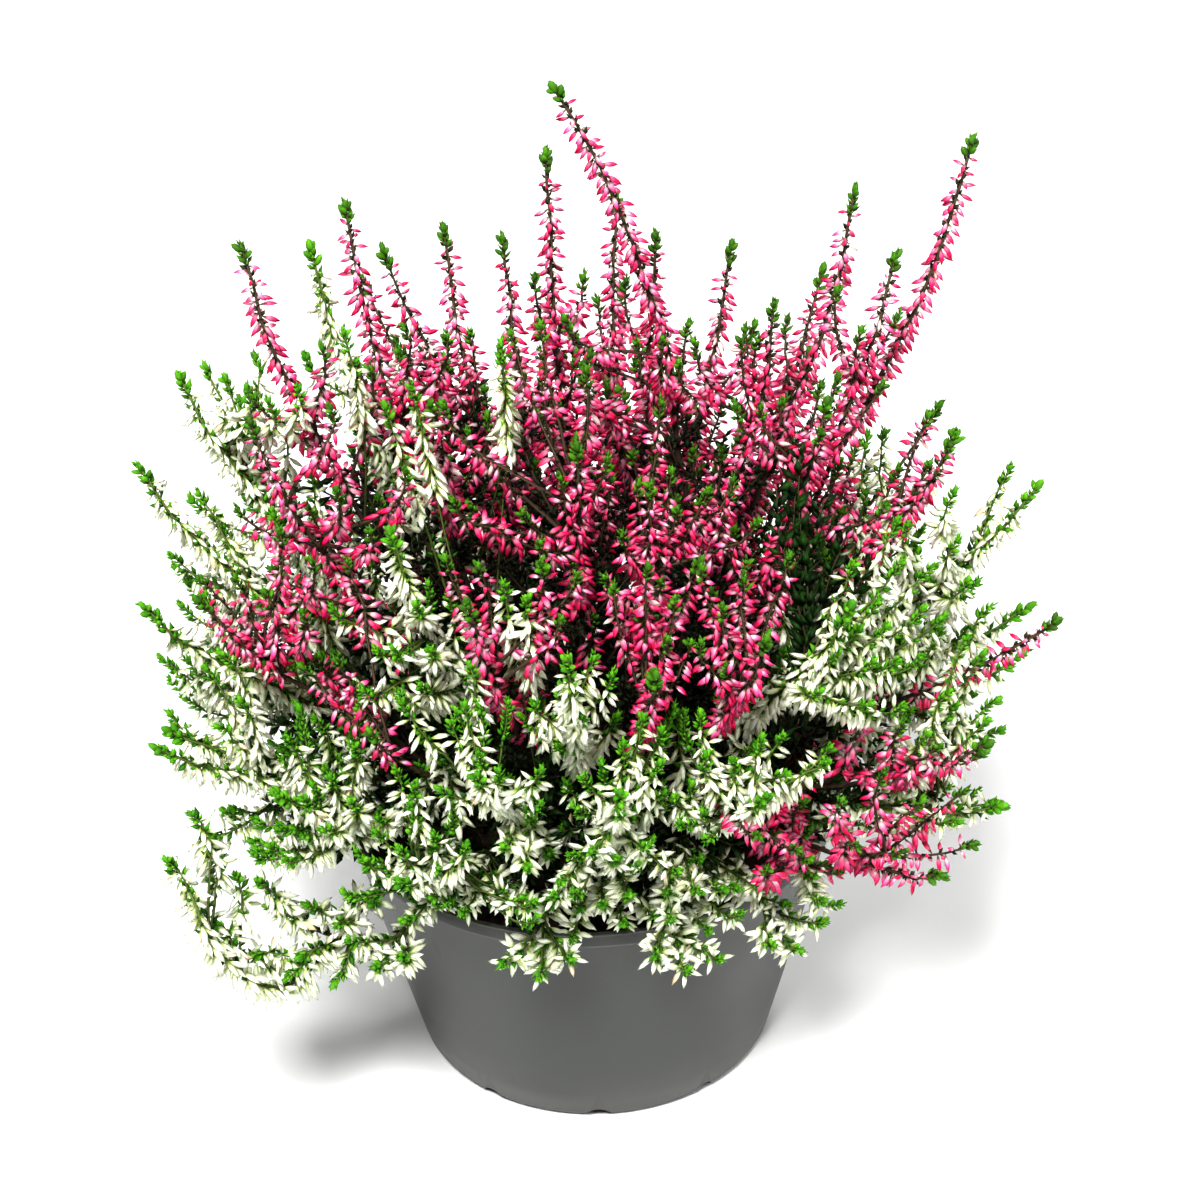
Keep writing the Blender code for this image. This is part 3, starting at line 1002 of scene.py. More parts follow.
class Routes:
    """The lines that the shoots follow, the same as in the solids they replace."""

    @staticmethod
    def foot(reach: float) -> Pair:
        """Where a shoot leans off, just over the peat."""
        return FOOT_SHARE * reach, PEAT_TOP + GAP + UPRIGHT_START

    @staticmethod
    def in_plane(azimuth: float, flat: Sequence[Pair], origin: Pair = (0.0, 0.0)) -> Array:
        """Places for (reach, height) pairs in the upright plane of an azimuth in degrees."""
        turn = math.radians(azimuth)
        x, y = math.cos(turn), math.sin(turn)
        return np.array([(origin[0] + out * x, origin[1] + out * y, up) for out, up in flat])

    @staticmethod
    def between(start: Pair, first: Pair, second: Pair, end: Pair, count: int) -> list[Pair]:
        """Points on a flat cubic curve."""
        stops = [np.array(point) for point in (start, first, second, end)]
        return [tuple(point) for point in Lines.cubic(*stops, count)]

    @classmethod
    def curve(cls, foot: Pair, tip: Pair, rise_share: float, lift: float) -> list[Pair]:
        """A shoot that stands up from the peat, leans out and turns its tip.

        Args:
            foot: Where it leans off, as (reach, height).
            tip: Where it ends.
            rise_share: How far it goes straight up first, as a share of its length.
            lift: How much its tip turns up, in radians.

        Returns:
            Its (reach, height) points.
        """
        length = math.dist(foot, tip)
        slope = min(math.atan2(tip[1] - foot[1], tip[0] - foot[0]) + lift, math.pi / 2)
        rise = (foot[0], foot[1] + rise_share * length)
        before_tip = (
            tip[0] - TIP_SHARE_OF_LENGTH * length * math.cos(slope),
            tip[1] - TIP_SHARE_OF_LENGTH * length * math.sin(slope),
        )
        flat = [(foot[0], foot[1] - UPRIGHT_START)]
        return flat + cls.between(foot, rise, before_tip, tip, SHOOT_POINTS - 1)

    @classmethod
    def standing(cls, azimuth: float, reach: float, over: float) -> Array:
        """The route of a shoot that leans straight out from the pot's axis and lifts its tip.

        Args:
            azimuth: Its direction in degrees.
            reach: How far its tip is from the axis, in mm.
            over: How far its tip is over the rim, in mm.

        Returns:
            The points of the route.
        """
        tip = (reach * MM, POT_HEIGHT + over * MM)
        return cls.in_plane(azimuth, cls.curve(cls.foot(tip[0]), tip, RISE_SHARE, TIP_LIFT))

    @classmethod
    def leaning(cls) -> Array:
        """The route of the tallest shoot, from its foot on one side over to the other."""
        origin = tuple(place * MM for place in LEANING_FOOT)
        across = [tip * MM - start for tip, start in zip(LEANING_TIP, origin)]
        tip = (math.hypot(*across), POT_HEIGHT + LEANING_TIP[2] * MM)
        flat = cls.curve((0.0, cls.foot(0.0)[1]), tip, LEANING_RISE_SHARE, LEANING_LIFT)
        return cls.in_plane(math.degrees(math.atan2(across[1], across[0])), flat, origin)

    @classmethod
    def trailing(cls, azimuth: float, passes: Sequence[Pair]) -> Array:
        """The route of a shoot that lies over the rim.

        Args:
            azimuth: Its direction in degrees.
            passes: The (reach, height over the rim) pairs in mm that it passes.

        Returns:
            The points of the route.
        """
        passes = [(out * MM, POT_HEIGHT + up * MM) for out, up in passes]
        foot = cls.foot(passes[-1][0])
        stops = [(foot[0], foot[1] - UPRIGHT_START), foot, *passes]
        ends = [stops[0], *stops, stops[-1]]
        flat = []
        for before, start, end, after in zip(ends, ends[1:], ends[2:], ends[3:]):
            lean_in = (start[0] + (end[0] - before[0]) / 6, start[1] + (end[1] - before[1]) / 6)
            lean_out = (end[0] - (after[0] - start[0]) / 6, end[1] - (after[1] - start[1]) / 6)
            flat += cls.between(start, lean_in, lean_out, end, 3)[:2]
        return cls.in_plane(azimuth, [*flat[:1], *flat[2:], stops[-1]])


@dataclass(frozen=True)
class Twig:
    """One branch: the line it follows, how thick it is and where it flowers.

    thick and thin are its radii at foot and tip. flowers is where along it the flowers start and
    end, bare how far it has no leaves, and tuft the length of its leafy tip, all in metres. ages
    are its places on the surface map. lobes is how many blunt side tips its leafy tip has, sides
    the corners of its section, fullness how much more than a side twig it carries and bud_scale
    how large its buds are.
    """

    path: Array
    thick: float
    thin: float
    bare: float
    flowers: Pair
    tuft: float
    ages: Pair
    lobes: int
    sides: int
    fullness: float = 1.0
    bud_scale: float = 1.0

    @property
    def length(self) -> float:
        """Its length along the line."""
        return float(Lines.lengths(self.path)[-1])


@dataclass(frozen=True)
class Spot:
    """Where a side twig ends: the place, the way its tip faces there and how far it flowers."""

    place: Array
    facing: Array
    flowering: float

    @classmethod
    def turned_up(cls, place: Array, lift: float, flowering: float) -> "Spot":
        """A tip that faces away from the plant's middle and turns up.

        Args:
            place: Where it ends, in metres.
            lift: How much it turns up; 0 is straight outward.
            flowering: How far it flowers, in metres.

        Returns:
            The spot.
        """
        outward = Lines.unit(place - Crown.CENTRE)
        return cls(place, Lines.unit(outward - DOWN * lift), flowering)


@dataclass(frozen=True)
class Habit:
    """How one of the heathers grows and flowers. Lengths are in metres and densities per metre.

    clear_of_others is how far the twigs that are spread by rule stay from the placed ones, as an
    angle, and kept is the share of them that grows.
    """

    bloom: Bloom
    petals: PetalFinish
    greenery: GreenFinish
    bud_length: float
    bud_width: float
    bud_density: float
    bud_forward: float
    bud_droop: float
    leaf_length: float
    leaf_width: float
    leaf_density: float
    leaf_shade: Pair
    twig: float
    tuft: float
    flowering: Pair
    front: float
    flowers_from: float
    lift: Pair
    clear_of_others: float
    kept: float


PINK_HABIT = Habit(
    bloom=Bloom.PINK,
    petals=PINK_PETALS,
    greenery=PINK_GREENERY,
    bud_length=6.4 * MM,
    bud_width=2.1 * MM,
    bud_density=960.0,
    bud_forward=0.0,
    bud_droop=0.75,
    leaf_length=2.6 * MM,
    leaf_width=1.4 * MM,
    leaf_density=520.0,
    leaf_shade=(0.20, 0.55),
    twig=0.85 * MM,
    tuft=8.0 * MM,
    flowering=(26 * MM, 38 * MM),
    front=42 * MM,
    flowers_from=0.60,
    lift=(0.30, 0.95),
    clear_of_others=math.radians(3.4),
    kept=0.78,
)
WHITE_HABIT = Habit(
    bloom=Bloom.WHITE,
    petals=WHITE_PETALS,
    greenery=WHITE_GREENERY,
    bud_length=7.8 * MM,
    bud_width=2.35 * MM,
    bud_density=1120.0,
    bud_forward=-0.12,
    bud_droop=1.15,
    leaf_length=3.8 * MM,
    leaf_width=1.7 * MM,
    leaf_density=520.0,
    leaf_shade=(0.40, 0.92),
    twig=0.62 * MM,
    tuft=9.0 * MM,
    flowering=(22 * MM, 33 * MM),
    front=38 * MM,
    flowers_from=0.50,
    lift=(0.70, 1.35),
    clear_of_others=math.radians(2.4),
    kept=0.95,
)


@dataclass(frozen=True)
class Growth:
    """What grows on one shoot: its habit, where its buds and greens go, and its chance."""

    habit: Habit
    buds: Gathering
    greens: Gathering
    rng: Chance


@dataclass(frozen=True)
class Cover:
    """How scale leaves stand on a stretch of twig.

    density is how many stand on a metre, spread how far they stand off the stem, shades the darkest
    and the brightest leaf, and larger how much larger they are than the habit says.
    """

    density: float
    spread: float
    shades: Pair
    larger: float = 1.0


class Foliage:
    """Adds buds, leaves and leafy tips to twigs."""

    BUD_SIDES = 3
    BUD_RINGS = ((0.50, 0.50), (0.76, 0.38))
    LOBE_SIDES = 4
    LOBE_RINGS = ((0.16, 0.34), (0.46, 0.50), (0.80, 0.36))
    LEAF_SIDES = 3
    LEAF_RINGS = ((0.50, 0.50),)
    LEAF_FLATNESS = 0.55
    CROWDING = 0.82
    YOUNG_BUDS = 16 * MM
    YOUNG_FORWARD = 0.35
    GROWN_DROOP = (0.35, 0.65)
    GROWN_SIZE = (0.70, 0.30)
    BUD_SPREAD = 0.14
    QUARTER = math.pi / 2
    TURN_SPREAD = 0.25
    LEAF_SPREAD = 0.16
    LEAFY_BELOW = 28 * MM
    BELOW_SHARE = 0.8
    BELOW = (0.8, (0.15, 0.45))
    AMONG_BUDS = 0.75
    SPARSE = (0.5, (0.2, 0.6))
    # The flowerless twigs inside the crown get the darkest leaves: partly the darker green of older
    # leaves, partly painted shade that darkens the inside of the crown
    INNER = Cover(620.0, 1.0, (0.0, 0.26), 1.8)
    TUFT_LEAF = (1.35 * MM, 3.4 * MM)
    TUFT_DENSITY = 2100.0
    TUFT_OPEN = (0.95, 0.60)
    TUFT_SIZE = (1.12, 0.30)
    TUFT_SHADES = (0.60, 1.0)
    END_LOBE = (2.5 * MM, 4.8 * MM)
    SIDE_LOBE = (2.05 * MM, 4.0 * MM)
    SMALL_LOBES = 0.80
    FEW_LOBES = 2
    LOBES_ALONG = (0.05, 0.70)
    LOBES_OUT = (0.65, 1.15)
    SIDE_SHADES = (0.62, 0.95)
    END_SHADES = (0.70, 0.95)
    END_SUNK = 0.6
    STEM_TAPER = 0.8
    STEM_LOT = (0.02, 0.13)

    def __init__(self) -> None:
        """Models the three small shapes that everything is copied from."""
        self.bud = Master.taken_from(Bench.spindle("bud", self.BUD_SIDES, self.BUD_RINGS))
        leaf = Bench.spindle("leaf", self.LEAF_SIDES, self.LEAF_RINGS, self.LEAF_FLATNESS)
        self.leaf = Master.taken_from(leaf)
        self.lobe = Master.taken_from(Bench.spindle("lobe", self.LOBE_SIDES, self.LOBE_RINGS))

    def buds(self, growth: Growth, twig: Twig) -> None:
        """Adds the flower buds of a twig.

        Args:
            growth: The shoot's growth.
            twig: The twig.
        """
        habit, rng = growth.habit, growth.rng
        start, end = twig.flowers
        count = int((end - start) * habit.bud_density * twig.fullness)
        if count < 1:
            return
        order = (np.arange(count) + rng.uniform(0.0, 1.0, count)) / count
        stations = start + (end - start) * (1 - (1 - order) ** self.CROWDING)
        places, heading = Lines.at(twig.path, stations)
        turn = np.arange(count) * GOLDEN_TURN + rng.normal(0.0, 0.4, count)
        out = Lines.outward(heading, turn)
        grown = np.clip((end - stations) / self.YOUNG_BUDS, 0.0, 1.0)
        forward = habit.bud_forward + self.YOUNG_FORWARD * (1 - grown)
        forward = forward + rng.normal(0.0, 0.22, count)
        droop = habit.bud_droop * (self.GROWN_DROOP[0] + self.GROWN_DROOP[1] * grown)
        droop = droop * rng.uniform(0.5, 1.4, count)
        pointing = out + heading * forward[:, None] + DOWN * droop[:, None]
        pointing = Lines.unit(pointing + rng.normal(0.0, self.BUD_SPREAD, (count, 3)))
        size = self.GROWN_SIZE[0] + self.GROWN_SIZE[1] * grown
        size = size * rng.uniform(0.86, 1.12, count) * twig.bud_scale
        length = habit.bud_length * size * rng.uniform(0.92, 1.1, count)
        sizes = np.stack((habit.bud_width * size, length), axis=1)
        lots = rng.uniform(0.01, 0.99, count)
        spin = rng.uniform(*ANY_TURN, count)
        growth.buds.copies(self.bud, places, pointing, spin, sizes, lots)

    def leaves(self, growth: Growth, twig: Twig, span: Pair, cover: Cover) -> None:
        """Adds scale leaves along a stretch of a twig.

        Args:
            growth: The shoot's growth.
            twig: The twig.
            span: Where along it the leaves start and end.
            cover: How the leaves stand there.
        """
        habit, rng = growth.habit, growth.rng
        count = int(max(0.0, span[1] - span[0]) * cover.density)
        if count < 1:
            return
        stations = span[0] + (span[1] - span[0]) * (np.arange(count) + 0.5) / count
        places, heading = Lines.at(twig.path, stations)
        turn = np.arange(count) * (self.QUARTER + 0.12) + rng.normal(0.0, self.TURN_SPREAD, count)
        pointing = heading + Lines.outward(heading, turn) * cover.spread
        pointing = Lines.unit(pointing + rng.normal(0.0, self.LEAF_SPREAD, (count, 3)))
        size = cover.larger * rng.uniform(0.8, 1.2, count)
        sizes = np.stack((habit.leaf_width * size, habit.leaf_length * size), axis=1)
        lots = self.leaf_lots(cover.shades, count, rng)
        growth.greens.copies(self.leaf, places, pointing, turn, sizes, lots)

    @staticmethod
    def leaf_lots(shades: Pair, count: int, rng: Chance) -> Array:
        """Lots of leaves whose brightness lies between two shades."""
        low = GreenFinish.LEAF_LOTS + 0.02
        high = 0.98
        return low + (high - low) * rng.uniform(*shades, count)

    def lobes(
        self, growth: Growth, origins: Array, pointing: Array, size: Pair, shades: Pair
    ) -> None:
        """Adds small blunt leafy tips, whose leaves are pressed together.

        Args:
            growth: The shoot's growth.
            origins: Where they start.
            pointing: Where they point.
            size: Their width and length.
            shades: The darkest and brightest of them.
        """
        rng = growth.rng
        count = len(origins)
        sizes = np.array(size)[None] * rng.uniform(0.75, 1.2, (count, 1))
        turn = rng.uniform(*ANY_TURN, count)
        lots = self.leaf_lots(shades, count, rng)
        growth.greens.copies(self.lobe, origins, pointing, turn, sizes, lots)

    def tuft(self, growth: Growth, twig: Twig) -> None:
        """Adds the leafy tip of a twig: leaves that close up toward its end, and blunt lobes.

        Args:
            growth: The shoot's growth.
            twig: The twig.
        """
        rng = growth.rng
        count = int(twig.tuft * self.TUFT_DENSITY)
        order = (np.arange(count) + 0.5) / count
        places, heading = Lines.at(twig.path, twig.length - twig.tuft + twig.tuft * order)
        turn = np.arange(count) * (self.QUARTER + 0.15) + rng.normal(0.0, self.TURN_SPREAD, count)
        spread = (self.TUFT_OPEN[0] - self.TUFT_OPEN[1] * order)[:, None]
        spread = spread + rng.normal(0.0, 0.10, (count, 1))
        pointing = Lines.unit(heading + Lines.outward(heading, turn) * spread)
        size = (self.TUFT_SIZE[0] - self.TUFT_SIZE[1] * order) * rng.uniform(0.85, 1.15, count)
        sizes = size[:, None] * np.array(self.TUFT_LEAF)
        lots = self.leaf_lots(self.TUFT_SHADES, count, rng)
        growth.greens.copies(self.leaf, places, pointing, turn, sizes, lots)
        if twig.lobes:
            self.tip_lobes(growth, twig)

    def tip_lobes(self, growth: Growth, twig: Twig) -> None:
        """Adds the blunt lobes of a leafy tip: some at its sides and one that ends it.

        Args:
            growth: The shoot's growth.
            twig: The twig.
        """
        rng = growth.rng
        shrink = self.SMALL_LOBES if twig.lobes <= self.FEW_LOBES else 1.0
        end_lobe, side_lobe = (
            (wide * shrink, long * shrink) for wide, long in (self.END_LOBE, self.SIDE_LOBE)
        )
        stations = twig.length - twig.tuft + twig.tuft * np.linspace(*self.LOBES_ALONG, twig.lobes)
        places, heading = Lines.at(twig.path, stations)
        turn = np.arange(twig.lobes) * (self.QUARTER + 0.2) + rng.uniform(*ANY_TURN)
        out = Lines.outward(heading, turn) * rng.uniform(*self.LOBES_OUT, (twig.lobes, 1))
        ways = Lines.unit(heading + out)
        self.lobes(growth, places, ways, side_lobe, self.SIDE_SHADES)
        station = np.array((twig.length - end_lobe[1] * self.END_SUNK,))
        self.lobes(growth, *Lines.at(twig.path, station), end_lobe, self.END_SHADES)

    def dress(self, growth: Growth, twig: Twig) -> None:
        """Adds everything that grows on a flowering twig, and its stem.

        Args:
            growth: The shoot's growth.
            twig: The twig.
        """
        self.stem(growth, twig)
        density = growth.habit.leaf_density
        foot = twig.flowers[0]
        below = (max(twig.bare, foot - self.LEAFY_BELOW), foot)
        self.leaves(growth, twig, below, Cover(density * self.BELOW_SHARE, *self.BELOW))
        if twig.tuft:
            shades, larger = growth.habit.leaf_shade, twig.fullness**0.5
            cover = Cover(density * twig.fullness, self.AMONG_BUDS, shades, larger)
        else:
            cover = Cover(density * self.SPARSE[0], self.AMONG_BUDS, self.SPARSE[1])
        self.leaves(growth, twig, twig.flowers, cover)
        if twig.tuft:
            self.tuft(growth, twig)
        self.buds(growth, twig)

    def dress_leafy(self, growth: Growth, twig: Twig) -> None:
        """Adds the stem and the darkest leaves of a twig without flowers; their darkness is partly
        painted shade.
        """
        self.stem(growth, twig)
        self.leaves(growth, twig, (twig.bare, twig.length), self.INNER)

    @classmethod
    def stem(cls, growth: Growth, twig: Twig) -> None:
        """Adds a twig's stem, which thins toward its tip.

        Args:
            growth: The shoot's growth.
            twig: The twig.
        """
        thinning = Lines.shares(twig.path) ** cls.STEM_TAPER
        radii = twig.thick + (twig.thin - twig.thick) * thinning
        lot = cls.STEM_LOT[0] + cls.STEM_LOT[1] * float(growth.rng.uniform(0.0, 1.0))
        growth.greens.tube(twig.path, radii, twig.sides, twig.ages, lot)


@dataclass
class Shoot:
    """One shoot of the plant: its main stem and the twigs that grow from it."""

    number: int
    habit: Habit
    route: Array
    trailing: bool = False

    POINTS = 18
    SWAY = 0.6 * MM
    FLOWERS_OVER = 178 * MM
    LOW_TIP = 190 * MM
    TRAILER_FLOWERS_FROM = 0.5
    BARE = 0.10
    OVER_RIM = 20 * MM
    SHORT_TRAILER = 0.86
    THICK, THIN, TWIG_THIN = 1.5 * MM, 0.45 * MM, 0.36 * MM
    STEADY_POINTS = 3
    STEADY_TIP = 0.4
    STEM_SIDES, TWIG_SIDES = 5, 3
    TALL_LOBES, SIDE_LOBES = 5, 2
    STEM_TUFT = (0.8, 1.2)
    TALL_TUFT = (0.85, 1.1)
    SIDE_TUFT = (0.6, 0.95)
    RIM_TUFT = 0.7
    STEM_FULLNESS, TALL_FULLNESS, RIM_FULLNESS = 1.5, 1.25, 1.45
    TALL_BUDS = 0.92
    RIM_BUDS = 1.16
    SIDE_POINTS = 9
    SIDE_SWAY = 0.4 * MM
    LEAVES_OVER, ARRIVES_OVER = 0.18, 0.40
    FLOWERLESS_SHARE = 0.22
    BARE_FOOT = 2 * MM
    BUDS_INTO_TUFT = 0.75
    TWIG_AGE = (0.3, 0.4)
    INNER_POINTS = 5
    INNER_LEAN = 0.3
    INNER_THICK, INNER_THIN = 0.7 * MM, 0.35 * MM
    WHITE_SEEDS = 1000

    def __post_init__(self) -> None:
        """Grows the main stem and starts the lists of twigs."""
        seeds = self.WHITE_SEEDS if self.habit.bloom is Bloom.WHITE else 0
        self.rng = np.random.default_rng(seeds + self.number)
        self.stem = self.grow_stem()
        self.flowering: list[tuple[Spot, int]] = []
        self.leafy: list[tuple[Spot, int]] = []

    @property
    def name(self) -> str:
        """The name of the solid that it replaces."""
        return f"{self.habit.bloom.value}_shoot_{self.number:02d}"

    @property
    def tip(self) -> Array:
        """Where its main stem ends."""
        return self.route[-1]

    def grow_stem(self) -> Twig:
        """Its main stem, along the route with a slight sway."""
        length = float(Lines.lengths(self.route)[-1])
        if self.trailing and self.tip[2] < POT_HEIGHT + self.OVER_RIM:
            length *= self.SHORT_TRAILER
        path, _ = Lines.at(self.route, np.linspace(0.0, length, self.POINTS))
        sway = self.rng.normal(0.0, self.SWAY, path.shape)
        sway[: self.STEADY_POINTS] = 0.0
        sway[-2:] *= self.STEADY_TIP
        tuft = 0.0
        if not self.trailing:
            tuft = self.habit.tuft * float(self.rng.uniform(*self.STEM_TUFT))
        start = length * (self.TRAILER_FLOWERS_FROM if self.trailing else self.habit.flowers_from)
        if self.habit.bloom is Bloom.PINK and self.tip[2] > self.LOW_TIP:
            over = float(np.argmax(path[:, 2] > self.FLOWERS_OVER))
            start = max(start, length * over / self.POINTS)
        return Twig(
            path=path + sway,
            thick=self.THICK,
            thin=self.THIN,
            bare=self.BARE * length,
            flowers=(start, length - tuft * 0.8),
            tuft=tuft,
            ages=(0.0, 1.0),
            lobes=0 if self.trailing else self.TALL_LOBES,
            sides=self.STEM_SIDES,
            fullness=1.0 if self.trailing else self.STEM_FULLNESS,
            bud_scale=1.0 if self.trailing else self.TALL_BUDS,
        )

    def side(self, spot: Spot, index: int) -> Twig:
        """A flowering side twig.

        Args:
            spot: Where it ends.
            index: The point of the main stem that it grows from.

        Returns:
            The twig.
        """
        start = self.stem.path[index]
        heading = Lines.along(self.stem.path)[index]
        offset = spot.place - start
        reach = float(np.linalg.norm(offset))
        leave = start + (heading + Lines.unit(offset)) * reach * self.LEAVES_OVER
        arrive = spot.place - spot.facing * reach * self.ARRIVES_OVER
        path = Lines.cubic(start, leave, arrive, spot.place, self.SIDE_POINTS)
        sway = self.rng.normal(0.0, self.SIDE_SWAY, path.shape)
        path = path + sway * np.linspace(0.0, 1.0, self.SIDE_POINTS)[:, None]
        path = Crown.cleared(path)
        long = float(Lines.lengths(path)[-1])
        tall = spot.flowering >= Crown.TALL
        tuft = float(self.rng.uniform(*(self.TALL_TUFT if tall else self.SIDE_TUFT)))
        tuft = self.habit.tuft * tuft
        fullness, bud_scale = (self.TALL_FULLNESS, self.TALL_BUDS) if tall else (1.0, 1.0)
        if self.trailing:
            tuft *= self.RIM_TUFT
            fullness, bud_scale = self.RIM_FULLNESS, self.RIM_BUDS
        if not spot.flowering:
            tuft = min(Crown.GREEN, 0.5 * long)
        end = long - tuft * self.BUDS_INTO_TUFT
        foot = max(self.FLOWERLESS_SHARE * long, long - spot.flowering) + self.BARE_FOOT
        return Twig(
            path=path,
            thick=self.habit.twig,
            thin=self.TWIG_THIN,
            bare=self.BARE_FOOT,
            flowers=(min(end, foot), end),
            tuft=tuft,
            ages=(self.TWIG_AGE[0] + self.TWIG_AGE[1] * (index / self.POINTS), 1.0),
            lobes=self.TALL_LOBES if tall else self.SIDE_LOBES,
            sides=self.TWIG_SIDES,
            fullness=fullness,
            bud_scale=bud_scale,
        )

    def inner(self, spot: Spot, index: int) -> Twig:
        """A short leafy twig without flowers, inside the plant.

        Args:
            spot: Where it ends.
            index: The point of the main stem that it grows from.

        Returns:
            The twig.
        """
        start = self.stem.path[index]
        heading = Lines.along(self.stem.path)[index]
        reach = float(np.linalg.norm(spot.place - start))
        leave = start + heading * reach * self.INNER_LEAN
        arrive = spot.place - spot.facing * reach * self.INNER_LEAN
        path = Lines.cubic(start, leave, arrive, spot.place, self.INNER_POINTS)
        path = Crown.cleared(path)
        long = float(Lines.lengths(path)[-1])
        return Twig(
            path=path,
            thick=self.INNER_THICK,
            thin=self.INNER_THIN,
            bare=0.0,
            flowers=(long, long),
            tuft=0.0,
            ages=(0.1, 0.5),
            lobes=0,
            sides=self.TWIG_SIDES,
        )

    def build(self, foliage: Foliage, petals: Finish, greenery: Finish) -> None:
        """Makes the shoot's two pieces: its greenery and its buds.

        Args:
            foliage: What puts buds and leaves on twigs.
            petals: The buds' material.
            greenery: The material of stems and leaves.
        """
        growth = Growth(self.habit, Gathering(), Gathering(), self.rng)
        foliage.dress(growth, self.stem)
        for spot, index in self.flowering:
            foliage.dress(growth, self.side(spot, index))
        for spot, index in self.leafy:
            foliage.dress_leafy(growth, self.inner(spot, index))
        flowers = growth.buds.finish(f"{self.name}_buds", petals)
        green = growth.greens.finish(f"{self.name}_greenery", greenery)
        bloom = self.habit.bloom.value
        for piece, slot in ((flowers, f"{bloom}_flower"), (green, "foliage")):
            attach(piece, BODY)
            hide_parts(self.name)
        faces = (len(flowers.data.polygons), len(green.data.polygons))
        twigs = len(self.flowering)
        LOG.info("%s: %d side twigs, %d bud faces, %d green faces", self.name, twigs, *faces)


